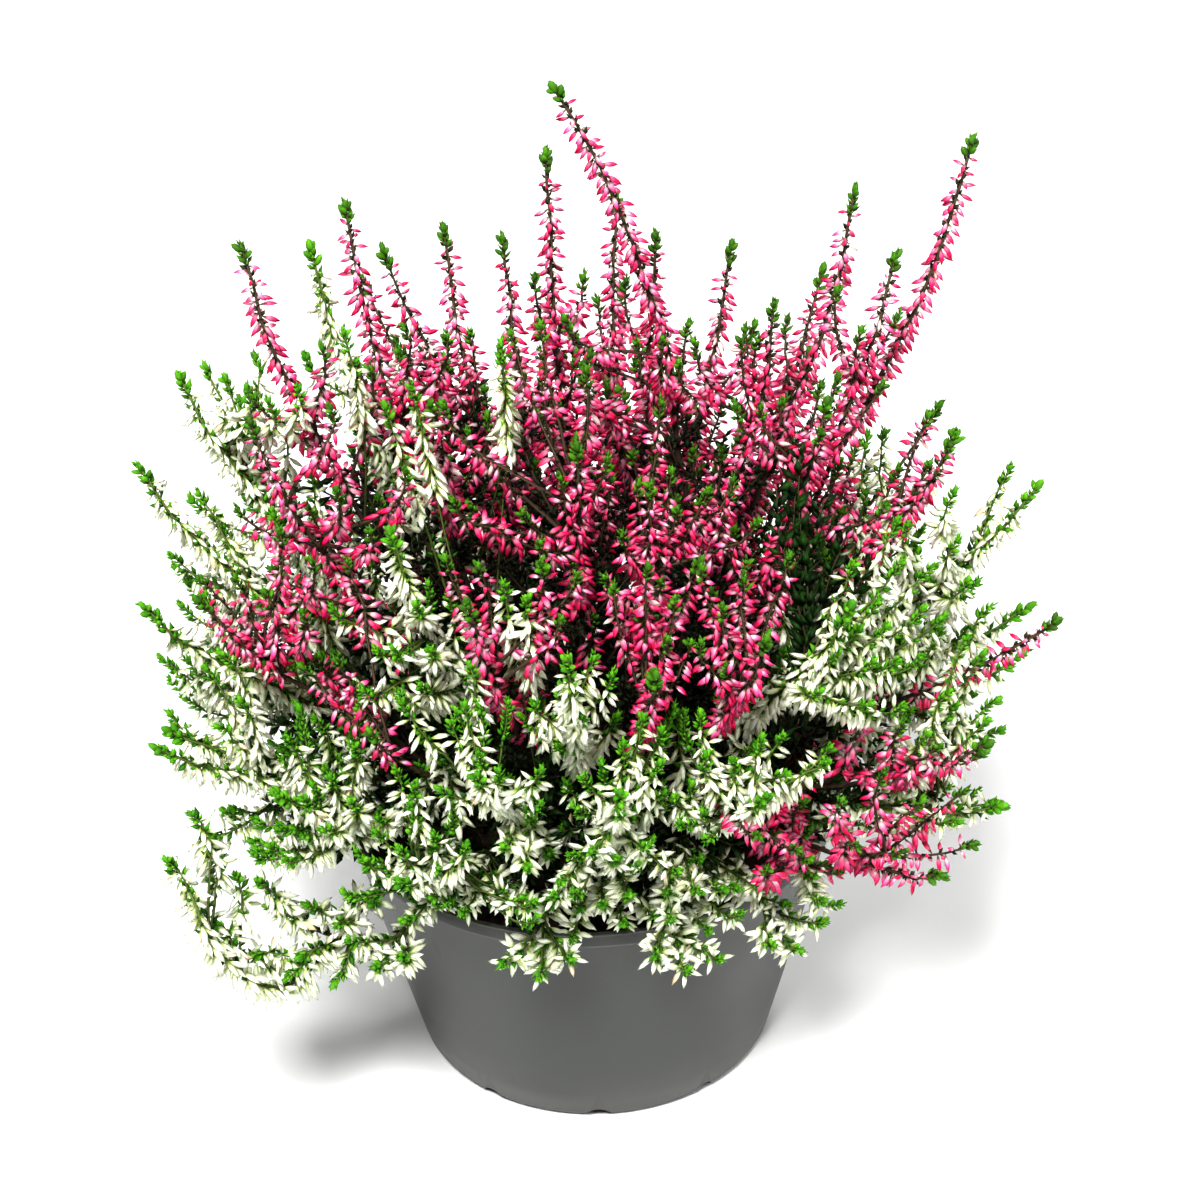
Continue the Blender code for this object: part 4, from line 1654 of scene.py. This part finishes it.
class Crown:
    """The rounded crown: which colour flowers where, and which shoot each twig grows from."""

    CENTRE = np.array((0.0, 0.0, 98 * MM))
    FLOWERING_TWIGS = 1180
    GREEN_TWIGS = 420
    LEAFY_TWIGS = 900
    LOWEST = math.radians(2)
    LOWEST_TIP = 108 * MM
    NEAREST = 3
    HIGHEST = 212 * MM
    DEPTH = (0.54, 0.88)
    UNEVEN = 0.09
    GAPS = ((-28, -105, 148), (-12, -96, 112), (72, -54, 234))
    GAP_WIDTH = math.radians(6.5)
    GREEN_SIDE = (math.radians(-145), math.radians(-68))
    GREEN_DEPTH = (0.76, 0.92)
    GREEN_LIFT = (1.2, 2.4)
    GREEN = 16 * MM
    LOWEST_GREEN = 128 * MM
    LEAFY_DEPTH = (0.25, 0.70)
    LOW = math.radians(14)
    LOW_LIFT = 0.9
    OPEN_SIDE = (math.radians(-160), math.radians(-124))
    OPEN_UNDER = math.radians(12)
    TALL = 75 * MM
    LONE = 40 * MM
    FROM_WITHIN = 130 * MM
    SHORTER_UPRIGHT = 13 * MM
    SHORT = 20 * MM
    LEAFY = 24 * MM
    RIM_REACH = (62 * MM, 78 * MM)
    OVER_RIM = 5 * MM
    OVER_PEAT = 3 * MM
    CLEAR_OF_RIM = 92 * MM
    JOINS_FROM, JOINS_TO = 0.12, 0.88
    LONGER = 1.1
    STRAIGHT_FROM = 0.6
    SIDEWAYS_COSTS = 60
    OTHER_COSTS = 10.0
    SEED = 7
    LEAFY_LIFT = (0.0, 0.6)

    def __init__(self, shoots: Sequence[Shoot]) -> None:
        """Reads where the shoots' tips are and where twigs can grow from their stems.

        Args:
            shoots: All the shoots.
        """
        self.shoots = shoots
        offsets = np.array([shoot.tip for shoot in shoots]) - self.CENTRE
        self.reach = np.linalg.norm(offsets, axis=1)
        self.facing = Lines.unit(offsets)
        self.zones = [(way, shoot.habit.bloom) for way, shoot in zip(self.facing, shoots)]
        self.taken: list[Array] = []
        shares = np.linspace(0.0, 1.0, Shoot.POINTS)
        usable = np.flatnonzero((shares > self.JOINS_FROM) & (shares < self.JOINS_TO))
        self.joints = np.array([shoot.stem.path[index] for shoot in shoots for index in usable])
        self.owners = np.array([(number, at) for number in range(len(shoots)) for at in usable])
        self.gaps = Lines.unit(np.array(self.GAPS) * MM - self.CENTRE)

    @classmethod
    def cleared(cls, path: Array) -> Array:
        """Lifts a path over the peat and the pot's rim.

        Args:
            path: The points of a twig.

        Returns:
            The points, with those inside the pot high enough.
        """
        path = path.copy()
        out = np.hypot(path[:, 0], path[:, 1])
        inner, outer = cls.RIM_REACH
        near = np.clip((out - inner) / (outer - inner), 0.0, 1.0)
        rise = POT_HEIGHT + cls.OVER_RIM - PEAT_TOP - cls.OVER_PEAT
        floor = PEAT_TOP + cls.OVER_PEAT + near * rise
        inside = out < cls.CLEAR_OF_RIM
        path[:, 2] = np.where(inside, np.maximum(path[:, 2], floor), path[:, 2])
        return path

    def directions(self, count: int) -> Array:
        """Evenly spaced directions over the crown, from a little under its centre to the top."""
        order = (np.arange(count) + 0.5) / count
        rise = math.sin(self.LOWEST) + (1 - math.sin(self.LOWEST)) * order
        level = np.sqrt(1 - rise**2)
        turn = np.arange(count) * GOLDEN_TURN
        return np.stack((level * np.cos(turn), level * np.sin(turn), rise), axis=1)

    def places(self, count: int, depth: Pair, rng: Chance) -> list[Array]:
        """Places spread over the crown.

        Args:
            count: How many.
            depth: How deep they lie, as the least and most share of the way to the shoots' tips.
            rng: The source of chance.

        Returns:
            The places.
        """
        found = []
        for facing in self.directions(count):
            facing = Lines.unit(facing + rng.normal(0.0, self.UNEVEN, 3))
            angle = np.arccos(np.clip(self.facing @ facing, -1.0, 1.0))
            near = np.argsort(angle)[: self.NEAREST]
            weight = 1 / (angle[near] + 0.05)
            reach = min(self.HIGHEST, float(np.sum(self.reach[near] * weight) / np.sum(weight)))
            found.append(self.CENTRE + facing * reach * float(rng.uniform(*depth)))
        return found

    def joined(
        self, spot: Spot, length: float, bloom: Bloom | None = None, trailing: bool = False
    ) -> tuple[Shoot, int]:
        """The shoot and the point on its stem that suit a twig best.

        Args:
            spot: Where the twig ends.
            length: About how long it should be.
            bloom: The colour that the shoot must have, if it matters.
            trailing: Whether the shoot must be one that lies over the rim, or one that stands.

        Returns:
            The shoot and the number of the point.
        """
        offset = spot.place - self.joints
        miss = np.linalg.norm(offset - spot.facing * length, axis=1)
        straight = Lines.unit(offset) @ spot.facing
        sideways = np.clip(self.STRAIGHT_FROM - straight, 0.0, None)
        suits = np.array(
            [
                shoot.trailing is trailing and bloom in (None, shoot.habit.bloom)
                for shoot in self.shoots
            ]
        )
        other = ~suits[self.owners[:, 0]]
        cost = miss + sideways * self.SIDEWAYS_COSTS * MM + other * self.OTHER_COSTS
        number, index = self.owners[int(np.argmin(cost))]
        return self.shoots[number], int(index)

    def bloom_at(self, place: Array) -> Bloom:
        """The colour that flowers at a place: that of the nearest tip placed so far."""
        facing = Lines.unit(place - self.CENTRE)
        return max(self.zones, key=lambda zone: float(zone[0] @ facing))[1]

    def give(
        self, bloom: Bloom, spots: Sequence[Spot], length: float = 0.0, trailing: bool = False
    ) -> None:
        """Gives flowering twigs to shoots of a colour.

        Args:
            bloom: The colour.
            spots: Where the twigs end.
            length: About how long they are, or 0 for a little more than they flower.
            trailing: Whether they grow from the shoots that lie over the rim.
        """
        for spot in spots:
            long = length or spot.flowering * self.LONGER
            shoot, index = self.joined(spot, long, bloom, trailing)
            shoot.flowering.append((spot, index))
            self.taken.append(Lines.unit(spot.place - self.CENTRE))

    def leaf_out(self, spots: Sequence[Spot]) -> None:
        """Gives leafy twigs without flowers to the white shoots."""
        for spot in spots:
            shoot, index = self.joined(spot, self.LEAFY, Bloom.WHITE)
            shoot.leafy.append((spot, index))

    def colour(self, bloom: Bloom, tips: Sequence[tuple[float, ...]]) -> None:
        """Makes the part of the crown round some tips, given in mm, flower in a colour."""
        for tip in tips:
            self.zones.append((Lines.unit(np.array(tip[:3]) * MM - self.CENTRE), bloom))

    def is_open(self, facing: Array) -> bool:
        """Whether a direction looks through the gap over the long shoot on the left."""
        start, end = self.OPEN_SIDE
        left = start < math.atan2(facing[1], facing[0]) < end
        low = math.asin(facing[2]) < self.OPEN_UNDER
        return bool(left and low)

    def in_gap(self, facing: Array) -> bool:
        """Whether a direction looks into one of the gaps between the flowers."""
        return bool(np.max(self.gaps @ facing) > math.cos(self.GAP_WIDTH))

    def fill(self) -> None:
        """Fills the crown: flowering twigs outside, green ones in front and leafy ones inside."""
        rng = np.random.default_rng(self.SEED)
        self.add_flowering(rng)
        self.add_green(rng)
        self.add_leafy(rng)

    def add_flowering(self, rng: Chance) -> None:
        """Adds flowering twigs all over the crown, where none was placed.

        Args:
            rng: The source of chance.
        """
        habits = {habit.bloom: habit for habit in (PINK_HABIT, WHITE_HABIT)}
        taken = np.array(self.taken)
        for place in self.places(self.FLOWERING_TWIGS, self.DEPTH, rng):
            facing = Lines.unit(place - self.CENTRE)
            habit = habits[self.bloom_at(place)]
            low = max(0.0, 1 - math.asin(facing[2]) / self.LOW)
            lift = float(rng.uniform(*habit.lift)) + self.LOW_LIFT * low
            flowering = float(rng.uniform(*habit.flowering))
            crowded = np.max(taken @ facing) > math.cos(habit.clear_of_others)
            left_out = float(rng.uniform()) > habit.kept or place[2] < self.LOWEST_TIP
            if crowded or left_out or self.in_gap(facing) or self.is_open(facing):
                continue
            spot = Spot.turned_up(place, lift, flowering)
            shoot, index = self.joined(spot, spot.flowering * self.LONGER, habit.bloom)
            shoot.flowering.append((spot, index))

    def add_green(self, rng: Chance) -> None:
        """Adds green tips between the white flowers in front.

        Args:
            rng: The source of chance.
        """
        start, end = self.GREEN_SIDE
        for place in self.places(self.GREEN_TWIGS, self.GREEN_DEPTH, rng):
            spot = Spot.turned_up(place, float(rng.uniform(*self.GREEN_LIFT)), 0.0)
            facing = Lines.unit(place - self.CENTRE)
            outside = not start < math.atan2(facing[1], facing[0]) < end
            outside = outside or self.is_open(facing) or self.in_gap(facing)
            if outside or self.bloom_at(place) is Bloom.PINK or place[2] < self.LOWEST_GREEN:
                continue
            shoot, index = self.joined(spot, self.LEAFY, Bloom.WHITE)
            shoot.flowering.append((spot, index))

    def add_leafy(self, rng: Chance) -> None:
        """Adds leafy twigs without flowers inside the crown.

        Args:
            rng: The source of chance.
        """
        for place in self.places(self.LEAFY_TWIGS, self.LEAFY_DEPTH, rng):
            spot = Spot.turned_up(place, float(rng.uniform(*self.LEAFY_LIFT)), 0.0)
            out = math.hypot(place[0], place[1])
            over_rim = out > self.RIM_REACH[0] and place[2] < self.LOWEST_TIP
            if over_rim or self.is_open(Lines.unit(place - self.CENTRE)):
                continue
            shoot, index = self.joined(spot, self.LEAFY)
            shoot.leafy.append((spot, index))


@dataclass(frozen=True)
class BowlPot:
    """The round plastic bowl pot with a rim band and drainage notches round its base."""

    rim_radius: float = 85 * MM
    base_radius: float = 61 * MM
    height: float = POT_HEIGHT
    wall: float = 1.2 * MM
    band_height: float = 5.0 * MM
    band_step: float = 1.0 * MM
    edge: float = 0.4 * MM
    corner: float = 3.0 * MM
    crown: float = 0.6 * MM
    notches: int = 10
    notch_radius: float = 4.2 * MM
    notch_rise: float = 0.3 * MM
    notch_reach: float = 16 * MM
    first_notch: float = -90.0
    notch_sides: int = 24
    steps: int = 120
    warp: float = 0.7 * MM
    foot_width: float = 9 * MM
    recess_slope: float = 0.8 * MM
    recess_width: float = 24 * MM
    recess_rise: float = 0.7 * MM
    middle_rise: float = 0.3 * MM
    smooth_under: float = 32.0

    def outer(self, height: float) -> float:
        """The radius of the outer wall under the band, at a height."""
        share = height / self.height
        top = self.rim_radius - self.band_step
        bulge = self.crown * 4 * share * (1 - share)
        return self.base_radius + (top - self.base_radius) * share + bulge

    def arc(self, radius: float, height: float, corner: float, points: int = 5) -> list[Pair]:
        """The rounded corner from the wall down to the floor."""
        turns = [step * math.pi / 2 / points for step in range(1, points + 1)]
        return [
            (radius - corner + corner * math.cos(turn), height + corner - corner * math.sin(turn))
            for turn in turns
        ]

    def climb(self, low: float, high: float, steps: int = 9) -> list[float]:
        """Evenly spaced heights from high to low."""
        return [high + (low - high) * step / steps for step in range(steps + 1)]

    def profile(self) -> list[Pair]:
        """The section: from the axis on the floor inside, over the rim, back to the axis below."""
        rim, top = self.rim_radius, self.height
        band = top - self.band_height
        inner_corner = self.corner - self.wall / 2
        foot = self.base_radius - self.foot_width
        middle = foot - self.recess_width
        mouth = self.outer(top) - self.wall
        outside = [
            (rim - 0.15 * MM, top - 0.08 * MM),
            (rim, top - self.edge),
            (rim, band + 0.3 * MM),
            (rim - 0.3 * MM, band),
            (self.outer(band) + 0.1 * MM, band - 0.25 * MM),
        ]
        heights = self.climb(self.corner, band - 1.2 * MM)
        outside += [(self.outer(height), height) for height in heights]
        outside += self.arc(self.outer(0.0), 0.0, self.corner)
        outside += [
            (foot, 0.0),
            (foot - self.recess_slope, self.recess_rise),
            (middle, self.recess_rise),
            (middle - self.recess_slope, self.middle_rise),
            (0.0, self.middle_rise),
        ]
        heights = self.climb(self.wall + inner_corner, top - self.edge)
        inside = [(self.outer(height) - self.wall, height) for height in heights]
        inside += self.arc(self.outer(self.wall) - self.wall, self.wall, inner_corner)
        inside.append((0.0, self.wall))
        lip = [
            (mouth + 0.15 * MM, top - 0.08 * MM),
            (mouth + self.edge, top),
            (rim - self.edge, top),
        ]
        return inside[::-1] + lip + outside

    def cutter(self, index: int) -> Piece:
        """The round-topped cutter of one drainage notch."""
        azimuth = math.radians(self.first_notch + 360 * index / self.notches)
        x, y = self.base_radius * math.cos(azimuth), self.base_radius * math.sin(azimuth)
        Bench.clear()
        bpy.ops.mesh.primitive_cylinder_add(
            vertices=self.notch_sides,
            radius=self.notch_radius,
            depth=self.notch_reach,
            location=(x, y, self.notch_rise),
            rotation=(0.0, math.pi / 2, azimuth),
        )
        return Bench.named(f"notch_{index + 1}")

    def cut(self, pot: Piece) -> None:
        """Cuts the notches out of the base's corner."""
        cutters = [self.cutter(index) for index in range(self.notches)]
        for cutter in cutters:
            cut = pot.modifiers.new(cutter.name, "BOOLEAN")
            cut.operation = "DIFFERENCE"
            cut.solver = "EXACT"
            cut.object = cutter
        Bench.apply_all(pot)
        for cutter in cutters:
            Bench.drop(cutter)

    def bend(self, pot: Piece) -> None:
        """Warps the thin rim a little out of round, as such pots are."""
        places = np.array([vertex.co for vertex in pot.data.vertices])
        turn = np.arctan2(places[:, 1], places[:, 0])
        high = np.clip(places[:, 2] / self.height, 0.0, 1.0) ** 2
        wave = 0.6 * np.sin(2 * turn + 0.7) + 0.4 * np.sin(3 * turn + 2.1) - 0.4
        shift = self.warp * high * wave
        places[:, 0] += np.cos(turn) * shift
        places[:, 1] += np.sin(turn) * shift
        pot.data.vertices.foreach_set("co", places.astype(np.float32).ravel())

    def build(self) -> Piece:
        """Makes the pot.

        Returns:
            The finished piece.
        """
        pot = Bench.turned("bowl_pot", self.profile(), self.steps)
        self.cut(pot)
        self.bend(pot)
        Bench.smooth(pot, self.smooth_under)
        pot.data.materials.clear()
        pot.data.materials.append(PotPlastic().make())
        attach(pot, BODY)
        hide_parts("pot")
        LOG.info("%s: %d faces", pot.name, len(pot.data.polygons))
        return pot


@dataclass(frozen=True)
class Peat:
    """The peat in the pot, uneven on top, with crumbs and fibres."""

    pot: BowlPot
    top: float = PEAT_TOP
    rings: int = 14
    steps: int = 96
    roughness: float = 1.3 * MM
    lump_size: float = 9 * MM
    still_edge: float = 4 * MM
    crumbs: int = 420
    crumb_lengths: Pair = (1.2, 4.2)
    fibres: int = 160
    fibre_lengths: Pair = (5.0, 14.0)
    fibre_width: float = 0.5 * MM
    smooth_under: float = 60.0
    seed: int = 3

    def profile(self) -> list[Pair]:
        """The section from the axis on top to the axis below."""
        inset = self.pot.wall + GAP
        wide = self.pot.outer(self.top) - inset
        top = [(wide * ring / self.rings, self.top) for ring in range(self.rings)]
        top.append((wide - 0.6 * MM, self.top - 0.4 * MM))
        heights = self.pot.climb(inset + self.pot.corner, self.top - 2 * MM, 5)
        side = [(self.pot.outer(height) - inset, height) for height in heights]
        foot = self.pot.arc(self.pot.outer(inset) - inset, inset, self.pot.corner, 3)
        return top + side + foot + [(0.0, inset)]

    def heave(self, peat: Piece) -> None:
        """Raises and sinks the top by a soft texture."""
        texture = bpy.data.textures.new("peat_lumps", "CLOUDS")
        texture.noise_scale = self.lump_size
        texture.noise_depth = 3
        group = peat.vertex_groups.new(name="top")
        inside = (self.pot.outer(self.top) - self.still_edge) ** 2
        chosen = [
            vertex.index
            for vertex in peat.data.vertices
            if vertex.co.z > self.top - 0.2 * MM and vertex.co.x**2 + vertex.co.y**2 < inside
        ]
        group.add(chosen, 1.0, "REPLACE")
        lumps = peat.modifiers.new("lumps", "DISPLACE")
        lumps.texture = texture
        lumps.texture_coords = "GLOBAL"
        lumps.direction = "Z"
        lumps.strength = 2 * self.roughness
        lumps.mid_level = 0.5
        lumps.vertex_group = group.name
        Bench.apply_all(peat)

    def crumb(self) -> Master:
        """One irregular crumb."""
        Bench.clear()
        bpy.ops.mesh.primitive_ico_sphere_add(subdivisions=1, radius=0.5, location=(0.0, 0.0, 0.0))
        made = Bench.named("crumb")
        bpy.ops.object.mode_set(mode="EDIT")
        bpy.ops.mesh.select_all(action="SELECT")
        bpy.ops.transform.vertex_random(offset=0.12, seed=4)
        bpy.ops.object.mode_set(mode="OBJECT")
        return Master.taken_from(made)

    def litter(self, finish: Finish) -> Piece:
        """The crumbs and fibres that lie on the peat.

        Args:
            finish: Their material.

        Returns:
            One piece with all of them.
        """
        rng = np.random.default_rng(self.seed)
        gathered = Gathering()
        wide = self.pot.outer(self.top) - self.pot.wall - self.still_edge
        crumb = self.crumb()
        fibre = Master.taken_from(Bench.spindle("fibre", 3, ((0.3, 0.5), (0.7, 0.4))))
        kinds = ((crumb, self.crumbs, self.crumb_lengths), (fibre, self.fibres, self.fibre_lengths))
        for master, count, lengths in kinds:
            out = wide * np.sqrt(rng.uniform(0.0, 1.0, count))
            turn = rng.uniform(0.0, 2 * math.pi, count)
            height = np.full(count, self.top + 0.4 * MM)
            places = np.stack((out * np.cos(turn), out * np.sin(turn), height), axis=1)
            pointing = rng.normal(0.0, 1.0, (count, 3))
            if master is fibre:
                pointing[:, 2] = np.abs(pointing[:, 2]) * 0.15
                inward = -places * np.array((1.0, 1.0, 0.0))
                pointing = pointing + Lines.unit(inward) * (out[:, None] > wide * 0.7) * 2
            pointing = Lines.unit(pointing)
            length = rng.uniform(*lengths, count) * MM
            width = np.full(count, self.fibre_width)
            if master is crumb:
                width = length * rng.uniform(0.6, 1.1, count)
            sizes = np.stack((width, length), axis=1)
            lots = rng.uniform(0.05, 0.95, count)
            gathered.copies(master, places, pointing, turn, sizes, lots)
        return gathered.finish("peat_litter", finish)

    def build(self) -> None:
        """Makes the peat and its litter."""
        peat = Bench.turned("peat_bed", self.profile(), self.steps)
        self.heave(peat)
        Bench.smooth(peat, self.smooth_under)
        peat.data.materials.append(PeatFinish().make())
        for piece in (peat, self.litter(LitterFinish().make())):
            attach(piece, BODY)
            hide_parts("peat")
            LOG.info("%s: %d faces", piece.name, len(piece.data.polygons))


class Heather:
    """The two heathers: all their shoots and what each of them carries."""

    def __init__(self) -> None:
        """Lays out the shoots and shares the crown out among them."""
        pink = [Routes.leaning(), *(Routes.standing(*tip) for tip in PINK_TIPS)]
        white = [Routes.standing(*tip) for tip in WHITE_TIPS]
        over = [Routes.trailing(azimuth, passes) for azimuth, passes in WHITE_TRAILERS]
        self.shoots = [
            Shoot(number, habit, route, trailing)
            for habit, routes, first, trailing in (
                (PINK_HABIT, pink, 1, False),
                (WHITE_HABIT, white, 1, False),
                (WHITE_HABIT, over, len(white) + 1, True),
            )
            for number, route in enumerate(routes, start=first)
        ]
        crown = Crown(self.shoots)
        for habit, tips in ((PINK_HABIT, PINK_FRONT_TIPS), (WHITE_HABIT, WHITE_FRONT_TIPS)):
            shorter = Crown.SHORTER_UPRIGHT
            spots = [self.spot(tip, habit.front - tip[3] * shorter) for tip in tips]
            crown.give(habit.bloom, spots)
            crown.colour(habit.bloom, tips)
        crown.give(Bloom.PINK, [self.spot(tip, Crown.TALL) for tip in PINK_TALL_TIPS])
        lone = [self.spot(tip, Crown.LONE) for tip in LONE_WHITE_TIPS]
        crown.give(Bloom.WHITE, lone, Crown.FROM_WITHIN)
        crown.leaf_out([self.spot(tip, 0.0) for tip in HOLLOW_TIPS])
        over_rim = [self.spot(tip, Crown.SHORT) for tip in TRAILER_TIPS + SKIRT_TIPS]
        crown.give(Bloom.WHITE, over_rim, trailing=True)
        crown.fill()

    @staticmethod
    def spot(tip: tuple[float, float, float, float], flowering: float) -> Spot:
        """A twig's end from its x, y and z in mm and how much it turns up."""
        return Spot.turned_up(np.array(tip[:3]) * MM, tip[3], flowering)

    def build(self) -> None:
        """Makes every shoot's pieces."""
        foliage = Foliage()
        finishes = {
            habit.bloom: (habit.petals.make(), habit.greenery.make())
            for habit in (PINK_HABIT, WHITE_HABIT)
        }
        for shoot in self.shoots:
            shoot.build(foliage, *finishes[shoot.habit.bloom])


@dataclass(frozen=True)
class Lamp:
    """A large soft lamp that looks at the plant."""

    name: str
    place: Point
    size: float
    power: float

    def build(self, target: Vector) -> None:
        """Makes the lamp, facing the target."""
        data = bpy.data.lights.new(self.name, "AREA")
        data.shape = "DISK"
        data.size = self.size
        data.energy = self.power
        lamp = bpy.data.objects.new(self.name, data)
        lamp.location = self.place
        lamp.rotation_euler = (target - Vector(self.place)).to_track_quat("-Z", "Y").to_euler()
        bpy.context.scene.collection.objects.link(lamp)


@dataclass(frozen=True)
class Studio:
    """The pale floor, the soft light and the camera at the photograph's angle."""

    distance: float = 1150 * MM
    down: float = math.radians(33.5)
    roll: float = math.radians(-1.5)
    focal_in_frames: float = 3500 / 1200
    target: Point = (5 * MM, 0.0, 171 * MM)
    sensor: float = 36.0
    seen: Pair = (0.05, 50.0)
    floor_size: float = 9.0
    floor_depth: float = 30 * MM
    floor_edge: float = 8 * MM
    sky: Colour = (0.96, 0.98, 1.0)
    sky_strength: float = 0.07
    lit: Point = (0.0, 0.0, 150 * MM)
    lamps: tuple[Lamp, ...] = (
        Lamp("key", (-0.3, -1.35, 2.0), 0.6, 94.0),
        Lamp("fill", (1.3, -0.9, 1.2), 0.9, 13.0),
        Lamp("back", (0.3, 1.5, 1.7), 1.0, 20.0),
        Lamp("left_edge", (-1.5, 0.5, 0.7), 0.6, 6.0),
        Lamp("right_edge", (1.5, 0.5, 0.7), 0.6, 6.0),
    )
    exposure: float = 0.17
    gamma: float = 0.85

    def camera(self) -> None:
        """Makes the scene's camera."""
        data = bpy.data.cameras.new("camera")
        data.sensor_width = self.sensor
        data.lens = data.sensor_width * self.focal_in_frames
        data.clip_start, data.clip_end = self.seen
        camera = bpy.data.objects.new("camera", data)
        bpy.context.scene.collection.objects.link(camera)
        target = Vector(self.target)
        back = Vector((0.0, -math.cos(self.down), math.sin(self.down)))
        facing = (-back).to_track_quat("-Z", "Y").to_matrix().to_4x4()
        place = Matrix.Translation(target + back * self.distance)
        camera.matrix_world = place @ facing @ Matrix.Rotation(self.roll, 4, "Z")
        bpy.context.scene.camera = camera

    def floor(self) -> None:
        """Makes the floor, a wide thin slab with bevelled edges."""
        Bench.clear()
        bpy.ops.mesh.primitive_plane_add(size=self.floor_size, location=(0.0, 0.0, 0.0))
        floor = Bench.named("floor")
        bpy.ops.object.mode_set(mode="EDIT")
        bpy.ops.mesh.select_all(action="SELECT")
        Bench.extrude((0.0, 0.0, -self.floor_depth))
        Bench.face_out()
        bpy.ops.mesh.bevel(offset=self.floor_edge, segments=3, affect="EDGES")
        bpy.ops.object.mode_set(mode="OBJECT")
        floor.data.materials.append(FloorFinish().make())
        floor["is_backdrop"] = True

    def light(self) -> None:
        """Makes the sky and the lamps."""
        world = bpy.data.worlds.new("studio")
        world.use_nodes = True
        background = world.node_tree.nodes["Background"]
        background.inputs["Color"].default_value = (*self.sky, 1.0)
        background.inputs["Strength"].default_value = self.sky_strength
        bpy.context.scene.world = world
        for lamp in self.lamps:
            lamp.build(Vector(self.lit))
        view = bpy.context.scene.view_settings
        view.view_transform = "Standard"
        view.exposure = self.exposure
        view.gamma = self.gamma

    def build(self) -> None:
        """Makes camera, floor and light."""
        self.camera()
        self.floor()
        self.light()


def main() -> None:
    """Builds the studio, the pot, the peat and the plant."""
    logging.basicConfig(level=logging.INFO, format="%(message)s")
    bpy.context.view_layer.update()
    Studio().build()
    pot = BowlPot()
    pot.build()
    Peat(pot).build()
    Heather().build()
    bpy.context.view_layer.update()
    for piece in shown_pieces():
        piece.data.calc_loop_triangles()
    total = sum(len(piece.data.loop_triangles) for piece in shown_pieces() if piece.type == "MESH")
    LOG.info("sizes written, %d triangles shown", total)


if __name__ == "__main__":
    main()
